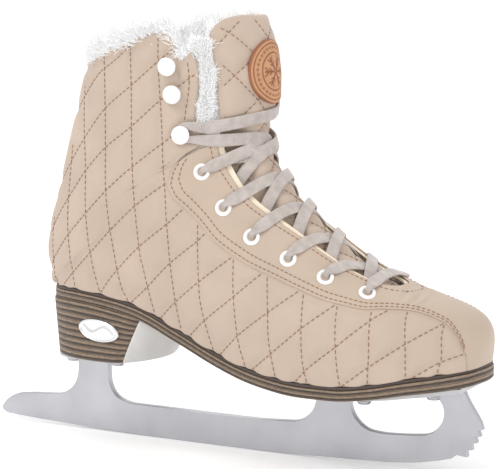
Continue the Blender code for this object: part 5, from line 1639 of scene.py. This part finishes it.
def make_fleece():
    """The fleece sock: its base and the pile that shows above and in front of the quarters."""
    shares = np.linspace(0, 1, 70)
    low = even_stations(3.2, 19.5, 3.0, 0.6)
    climb = np.linspace(0, 1, 26)
    edge = smooth_line(FLEECE_EDGE, low)
    v_low = edge[:, None] + (1 - edge)[:, None] * shares[None, :]
    u_low = np.repeat(low[:, None], len(shares), 1)
    v_top = 0.292 + 0.708 * shares
    top = collar(np.maximum(v_top, 0.36)) + 0.22
    u_high = 19.5 + (top[None, :] - 19.5) * climb[1:, None]
    edge_high = smooth_line(FLEECE_EDGE, u_high)
    v_high = edge_high + (1 - edge_high) * shares[None, :]
    u, v = np.concatenate([u_low, u_high]), np.concatenate([v_low, v_high])
    for side, name in SIDES:
        outer = boot_point(u, side * v, -FLEECE_OUTER)
        inner = boot_point(u, side * v, -FLEECE_INNER)
        if side > 0:
            outer, inner = outer[:, ::-1], inner[:, ::-1]
        obj, _ = panel(f"{name}_fleece_lining", outer, inner, PILE)
        put(obj, "fleece", "boot_fleece")
        collar_pile(side, name)
        front_pile(side, name)
        inner_pile(side, name)


def collar_pile(side, name):
    """Pile standing above the collar."""
    count = COLLAR_TUFTS
    v = random.uniform(0.335, 1.0, count)
    u = collar(np.maximum(v, 0.36)) + random.uniform(-0.30, 0.30, count)
    depth = -random.uniform(FLEECE_OUTER - 1.6, FLEECE_INNER, count)
    depth = np.where(u < collar(v) - 0.03, np.minimum(depth, -FLEECE_OUTER + 0.3), depth)
    roots, normals = boot_place(u, side * v, depth)
    share = (-depth - FLEECE_OUTER) / (FLEECE_INNER - FLEECE_OUTER)
    up = np.array([0.0, 0.0, 1.0])
    lean = unit(up + normals * (0.75 - 1.1 * share)[:, None])
    obj = tufts(f"{name}_collar_pile", roots, lean, random.uniform(4.0, 7.0, count), PILE, 21 + side)
    put(obj, "fleece")


def front_pile(side, name):
    """Pile in the gap between the quarter's front edge and the tongue."""
    count = FRONT_TUFTS
    u = random.uniform(18.35, 24.3, count)
    edge = smooth_line(QUARTER_FRONT, u)
    lining = smooth_line(FLEECE_EDGE, u)
    low = np.minimum(lining, edge - 0.01)
    v = low - 0.012 + (edge + 0.016 - low) * random.uniform(size=count)
    under = v > edge - 0.006
    depth = np.where(under, -FLEECE_OUTER, -random.uniform(FLEECE_OUTER - 1.2, FLEECE_OUTER + 2.5, count))
    roots, normals = boot_place(u, side * v, depth)
    forward = boot_point(u, side * (v - 0.01), depth) - roots
    lean = unit(normals * 0.9 + unit(forward) * np.where(under, 1.6, 0.35)[:, None] + np.array([0, 0, 0.25]))
    lengths = random.uniform(2.6, 4.6, count) * np.clip((u - 18.9) / 1.6, 0.35, 1)
    obj = tufts(f"{name}_front_pile", roots, lean, lengths, PILE, 31 + side)
    put(obj, "fleece")


def inner_pile(side, name):
    """Pile on the inside of the shaft."""
    count = INNER_TUFTS
    v = random.uniform(0.30, 1.0, count)
    u = collar(np.maximum(v, 0.36)) + 0.1 - random.uniform(0, 1, count) ** 1.4 * 6.0
    roots, normals = boot_place(u, side * v, -FLEECE_INNER + 0.4)
    lean = unit(-normals + np.array([0, 0, 0.4]))
    obj = tufts(f"{name}_inner_pile", roots, lean, random.uniform(3.0, 4.6, count), PILE, 41 + side)
    put(obj, "fleece")


# ---------------------------------------------------------------- eyelets and hooks

def make_eyelets():
    back = -LEATHER - 1.4
    profile = rounded([(EYELET_HOLE, -1.9), (EYELET_HOLE, 1.0), (EYELET_HOLE + 0.7, 1.9),
                       (EYELET_RIM - 0.6, 1.75), (EYELET_RIM - 0.1, 1.15), (EYELET_RIM - 0.1, 0.8),
                       (EYELET_BARREL, 0.8), (EYELET_BARREL, back), (EYELET_HOLE, back),
                       (EYELET_HOLE, -1.9)], 0.45, 4)
    for side, row, centre, axis in eyelet_places():
        name = side_name(side)
        obj = lathe(f"{name}_lace_eyelet_{row + 1}", profile[::-1], centre, axis, ENAMEL, 40)
        put(obj, "white_enamel", f"eyelet_{name}_{row + 1}")


def make_hooks():
    cap = [(0.0, 1.9), (2.4, 1.75), (HOOK_CAP - 0.8, 1.1), (HOOK_CAP, 0.2), (HOOK_CAP - 0.2, -0.5),
           (HOOK_CAP - 0.8, -0.6), (HOOK_NECK, 0.0)]
    foot = [(HOOK_NECK, 1.5), (HOOK_CAP - 1.0, 1.4), (HOOK_CAP - 0.9, 0.9), (HOOK_CAP - 1.0, 0.2), (0.0, 0.0)]
    profile = rounded([(radius, HOOK_CAP_LIFT + height) for radius, height in cap] + foot, 0.5, 4)
    for side, row, centre, axis in hook_places():
        name = side_name(side)
        obj = lathe(f"{name}_lace_hook_{row + 1}", profile, centre, axis, ENAMEL, 44)
        put(obj, "white_enamel", f"hook_{name}_{row + 1}")


# ---------------------------------------------------------------- sole and heel

def fine_outline(margin):
    """The sole's edge from lateral toe to heel and back along the medial side."""
    toe, side, back = np.linspace(0, 2, 26), np.linspace(2, 13, 60), np.linspace(13, 16.95, 36)
    u = np.concatenate([toe[:-1], side[:-1], back])
    half = smooth_column(u, 5)
    middle = smooth_column(u, 6)
    x = smooth_column(u, 2, True)
    half[0], half[-1] = 0.0, 0.0
    lateral = np.stack([x, middle - half, x], -1)
    medial = np.stack([x, middle + half, x], -1)[::-1]
    outline = np.concatenate([lateral, medial[1:-1]])
    centre_x = 0.5 * (x.min() + x.max())
    outline[:, 0] = centre_x + (outline[:, 0] - centre_x) * (1 + margin / (x.max() - centre_x))
    outline[:, 1] *= 1 + margin / half.max()
    outline[:, 2] = sole_top_z(outline[:, 0])
    return outline


def ring_normals(ring):
    """Outward directions in plan round a closed ring."""
    along = unit(np.roll(ring, -1, axis=0)[:, :2] - np.roll(ring, 1, axis=0)[:, :2])
    normal = np.stack([along[:, 1], -along[:, 0]], -1)
    outward = np.sum(normal * (ring[:, :2] - ring[:, :2].mean(axis=0)), axis=1)
    return np.column_stack([normal * np.sign(np.median(outward)), np.zeros(len(ring))])


def closed_stack(name, rings, material, spine_faces):
    """Rings stacked from top to bottom, closed above and below by quads across."""
    count = len(rings[0])
    faces = [quad[::-1] for quad in grid_faces(len(rings), count, wrap=True)]
    last = (len(rings) - 1) * count
    faces += [face[::-1] for face in spine_faces]
    faces += [[last + i for i in face] for face in spine_faces]
    return add_mesh(name, np.concatenate(rings), faces, material, math.radians(40))


def spine_faces(count):
    """Quads across a ring that runs out along one side and back along the other."""
    faces = [[0, 1, count - 1]]
    half = count // 2
    for i in range(1, half - 1):
        faces.append([i, i + 1, count - 1 - i, count - i])
    faces.append([half - 1, half, half + 1])
    return faces


def layer_profile(layers, groove=0.28):
    """(share from the top, inset, layer) down an edge that is grooved between its layers."""
    steps = [(0.0, 0.35, 0.0), (0.10, 0.08, 0.10), (0.25, 0.0, 0.25)]
    for k in range(layers - 1):
        at = k + 1
        steps += [(at - 0.14, 0.0, at - 0.14), (at - 0.05, groove, at - 0.05), (at + 0.05, groove, at + 0.05),
                  (at + 0.14, 0.0, at + 0.14)]
    steps += [(layers - 0.25, 0.0, layers - 0.25), (layers - 0.10, 0.12, layers - 0.10),
              (layers, 0.45, layers)]
    return [(at / layers, inset, layer) for at, inset, layer in steps]


def make_soles():
    """The dark rand and the layered outsole."""
    rand = fine_outline(SOLE_MARGIN - 0.5)
    out = ring_normals(rand)
    rings = []
    for share, inset in ((0.0, 0.5), (0.2, 0.12), (0.4, 0.0), (0.6, 0.0), (0.8, 0.12), (1.0, 0.5)):
        ring = rand - out * inset
        ring[:, 2] += -MIDSOLE_DROP + 0.55 - (MIDSOLE + 0.6) * share
        rings.append(ring)
    put(closed_stack("dark_rand", rings, RAND, spine_faces(len(rand))), "dark_rand", "midsole")
    outline = fine_outline(SOLE_MARGIN)
    out = ring_normals(outline)
    rings, layers = [], []
    for share, inset, layer in layer_profile(SOLE_LAYERS):
        ring = outline - out * inset
        top = -MIDSOLE_DROP - MIDSOLE - 0.1
        ring[:, 2] += top + (outsole_bottom(outline[:, 0]) - top) * share
        rings.append(ring)
        layers.append(np.full(len(ring), layer + 0.5))
    obj = closed_stack("layered_outsole", rings, LAYERS, spine_faces(len(outline)))
    set_values(obj, "layer", np.concatenate(layers))
    put(obj, "layered_sole", "outsole")


def heel_plan(height, steps=64):
    """The heel's plan at a share of its height, from the lateral front corner round the back."""
    back = HEEL_BACK_BOTTOM + (HEEL_BACK_TOP - HEEL_BACK_BOTTOM) * height
    half = HEEL_HALF_WIDTH_BOTTOM + (HEEL_HALF_WIDTH_TOP - HEEL_HALF_WIDTH_BOTTOM) * height
    front = BREAST_BOTTOM_X + (BREAST_TOP_X - BREAST_BOTTOM_X) * height
    corner = [(front, 3.0), (front - 1.6, 1.6), (front - 4.0, 0.5), (front - 6.5, 0.12), (front - 9.0, 0.0)]
    ring = [(x, -half + inset) for x, inset in corner]
    for angle in np.linspace(0, math.pi, steps + 1)[1:-1]:
        behind = (HEEL_WIDEST_X - back) * math.sin(angle) ** 0.9
        ring.append((HEEL_WIDEST_X - behind, -half * math.cos(angle)))
    ring += [(x, half - inset) for x, inset in corner[::-1]]
    return np.array(ring)


def make_heel():
    """The stacked heel, its grey breast and its oval badge."""
    rings, layers = [], []
    for share, inset, layer in layer_profile(HEEL_LAYERS, 0.25):
        height = 1 - share
        ring = heel_plan(height)
        top = sole_bottom_z(ring[:, 0]) - 0.1
        z = HEEL_BOTTOM + (top - HEEL_BOTTOM) * height
        ring = np.column_stack([ring, z])
        ring = ring - ring_normals(ring) * inset
        rings.append(ring)
        layers.append(np.full(len(ring), layer + 0.5))
    count = len(rings[0])
    across = [[i, i + 1, count - 2 - i, count - 1 - i] for i in range(count // 2 - 1)]
    obj = closed_stack("stacked_heel", rings, LAYERS, across)
    set_values(obj, "layer", np.concatenate(layers))
    put(obj, "layered_sole", "heel_block")
    make_breast()
    make_badge()


BREAST_ROWS = ((1.0, 0.7), (0.985, 0.25), (0.96, 0.0), (0.8, 0.0), (0.6, 0.0), (0.4, 0.0), (0.2, 0.0),
               (0.03, 0.0), (0.01, 0.3), (0.0, 0.8))


def make_breast():
    """The grey cover that rounds off the heel's front."""
    rings = []
    half = HEEL_HALF_WIDTH_BOTTOM - 3.0
    for share, inset in BREAST_ROWS:
        front = BREAST_BOTTOM_X + (BREAST_TOP_X - BREAST_BOTTOM_X) * share - 0.2
        bulge = BREAST_BULGE_BOTTOM + (BREAST_BULGE_TOP - BREAST_BULGE_BOTTOM) * share
        across = half * np.sin(np.linspace(-1, 1, 60) * math.pi / 2)
        crown = (bulge - inset) * (1 - (across / half) ** 2) ** 0.9
        arc = np.stack([front + 0.9 + crown, across * (1 - inset / half)], -1)
        ring = np.concatenate([arc[::-1], [(front, -half), (front, half)]])
        z = HEEL_BOTTOM + (sole_bottom_z(ring[:, 0]) - 0.3 - HEEL_BOTTOM) * share
        rings.append(np.column_stack([ring, z]))
    count = len(rings[0])
    across = [[i, i + 1, count - 4 - i, count - 3 - i] for i in range((count - 2) // 2 - 1)]
    across.append([count - 3, count - 2, count - 1, 0])
    obj = closed_stack("grey_heel_breast", rings, BREAST, across)
    put(obj, "grey_cover", "heel_breast")


def make_badge():
    """An oval badge with a raised rim and a plain wave."""
    tilt = math.radians(BADGE_TILT)
    rim_steps = np.sin(np.linspace(0.3, 1, 4) * math.pi / 2)
    radii = np.concatenate([np.linspace(0.02, 0.97, 30), 0.97 + 0.03 * rim_steps])

    def place(r, angle):
        along = 0.5 * BADGE_LENGTH * r * np.cos(angle)
        up = 0.5 * BADGE_HEIGHT * r * np.sin(angle)
        x = BADGE_X + along * math.cos(tilt) + up * math.sin(tilt)
        z = BADGE_Z - along * math.sin(tilt) + up * math.cos(tilt)
        points = np.stack([x, heel_side_y(x, z), z], -1)
        return points, np.broadcast_to(np.array([0.0, -1.0, 0.0]), points.shape)

    obj, _ = disc("oval_heel_badge", place, radii, 96, badge_relief, 0.1, BADGE_METAL)
    put(obj, "badge_metal", "heel_badge")


def badge_relief(r, angle):
    rim = 0.35 * np.exp(-((r - 0.90) / 0.05) ** 2)
    dish = -0.25 * (r < 0.86)
    x = r * np.cos(angle)
    z = r * np.sin(angle)
    wave = 0.30 * np.exp(-((z - 0.32 * np.sin(x * 5.0)) / 0.16) ** 2) * (r < 0.80)
    return 1.15 + rim + dish + wave - 3.0 * np.maximum(r - 0.975, 0) * 10


# ---------------------------------------------------------------- blade, plates and screws

def smooth_corners(outline, reach=1.6):
    """The blade's outline with its inner corners rounded, its picks left sharp."""
    points = np.array(outline)
    result = []
    count = len(points)
    for k in range(count):
        before, corner, after = points[k - 1], points[k], points[(k + 1) % count]
        back, on = before - corner, after - corner
        angle = math.acos(np.clip(np.dot(unit(back), unit(on)), -1, 1))
        pick = corner[0] > 130.5 and corner[1] < 26.5
        if angle > math.radians(177) or pick:
            result.append(corner)
            continue
        size = min(reach if angle < 2.2 else 5.0, 0.48 * np.linalg.norm(back), 0.48 * np.linalg.norm(on))
        for t in np.linspace(0, 1, 6):
            result.append((1 - t) ** 2 * (corner + unit(back) * size) + 2 * t * (1 - t) * corner
                          + t * t * (corner + unit(on) * size))
    return result


def make_blade():
    """The blade, its outline stood up with bevelled edges."""
    outline = smooth_corners(blade_outline())
    curve = bpy.data.curves.new("blade_outline", "CURVE")
    curve.dimensions = "2D"
    curve.fill_mode = "BOTH"
    curve.extrude = (BLADE_THICKNESS / 2 - BLADE_BEVEL) * MM
    curve.bevel_depth = BLADE_BEVEL * MM
    curve.bevel_resolution = 2
    curve.offset = -BLADE_BEVEL * MM
    spline = curve.splines.new("POLY")
    spline.points.add(len(outline) - 1)
    for point, (x, z) in zip(spline.points, outline):
        point.co = (x * MM, z * MM, 0.0, 1.0)
    spline.use_cyclic_u = True
    drawn = bpy.data.objects.new("blade_outline", curve)
    bpy.context.scene.collection.objects.link(drawn)
    drawn.rotation_euler = (math.pi / 2, 0.0, 0.0)
    bpy.context.view_layer.update()
    mesh = bpy.data.meshes.new_from_object(drawn.evaluated_get(bpy.context.evaluated_depsgraph_get()))
    mesh.transform(drawn.matrix_world)
    bpy.data.objects.remove(drawn)
    mesh.materials.clear()
    mesh.materials.append(BLADE_STEEL)
    mesh.shade_smooth()
    mesh.set_sharp_from_angle(angle=math.radians(32))
    obj = bpy.data.objects.new("skate_blade", mesh)
    bpy.context.scene.collection.objects.link(obj)
    put(obj, "blade_steel", "blade")


def finish_cad_pieces():
    """Looks and rounded edges for the frame's own plates, screws and inner pieces."""
    for name, node in frame["nodes"].items():
        if "_plate" in name:
            dress(node, PLATE_STEEL, 0.3)
        elif "_screw_" in name:
            dress(node, SCREW_STEEL, 0.2)
        elif name == "footbed":
            dress(node, FOOTBED_CLOTH, 0.8)
        elif name == "insole_board":
            dress(node, BOARD, 0.3)


def dress(node, material, bevel):
    node.data.materials.clear()
    node.data.materials.append(material)
    rounding = node.modifiers.new("rounded_edges", "BEVEL")
    rounding.width = bevel * MM
    rounding.segments = 2
    rounding.limit_method = "ANGLE"
    rounding.angle_limit = math.radians(35)


BOARD = smooth_plastic("insole_board_fibre", (0.30, 0.20, 0.13), 0.85)

set_camera()
make_lace()
set_light()
set_floor()
make_quarters()
make_facing()
make_tongue()
make_patch()
make_fleece()
make_eyelets()
make_hooks()
make_soles()
make_heel()
make_blade()
finish_cad_pieces()
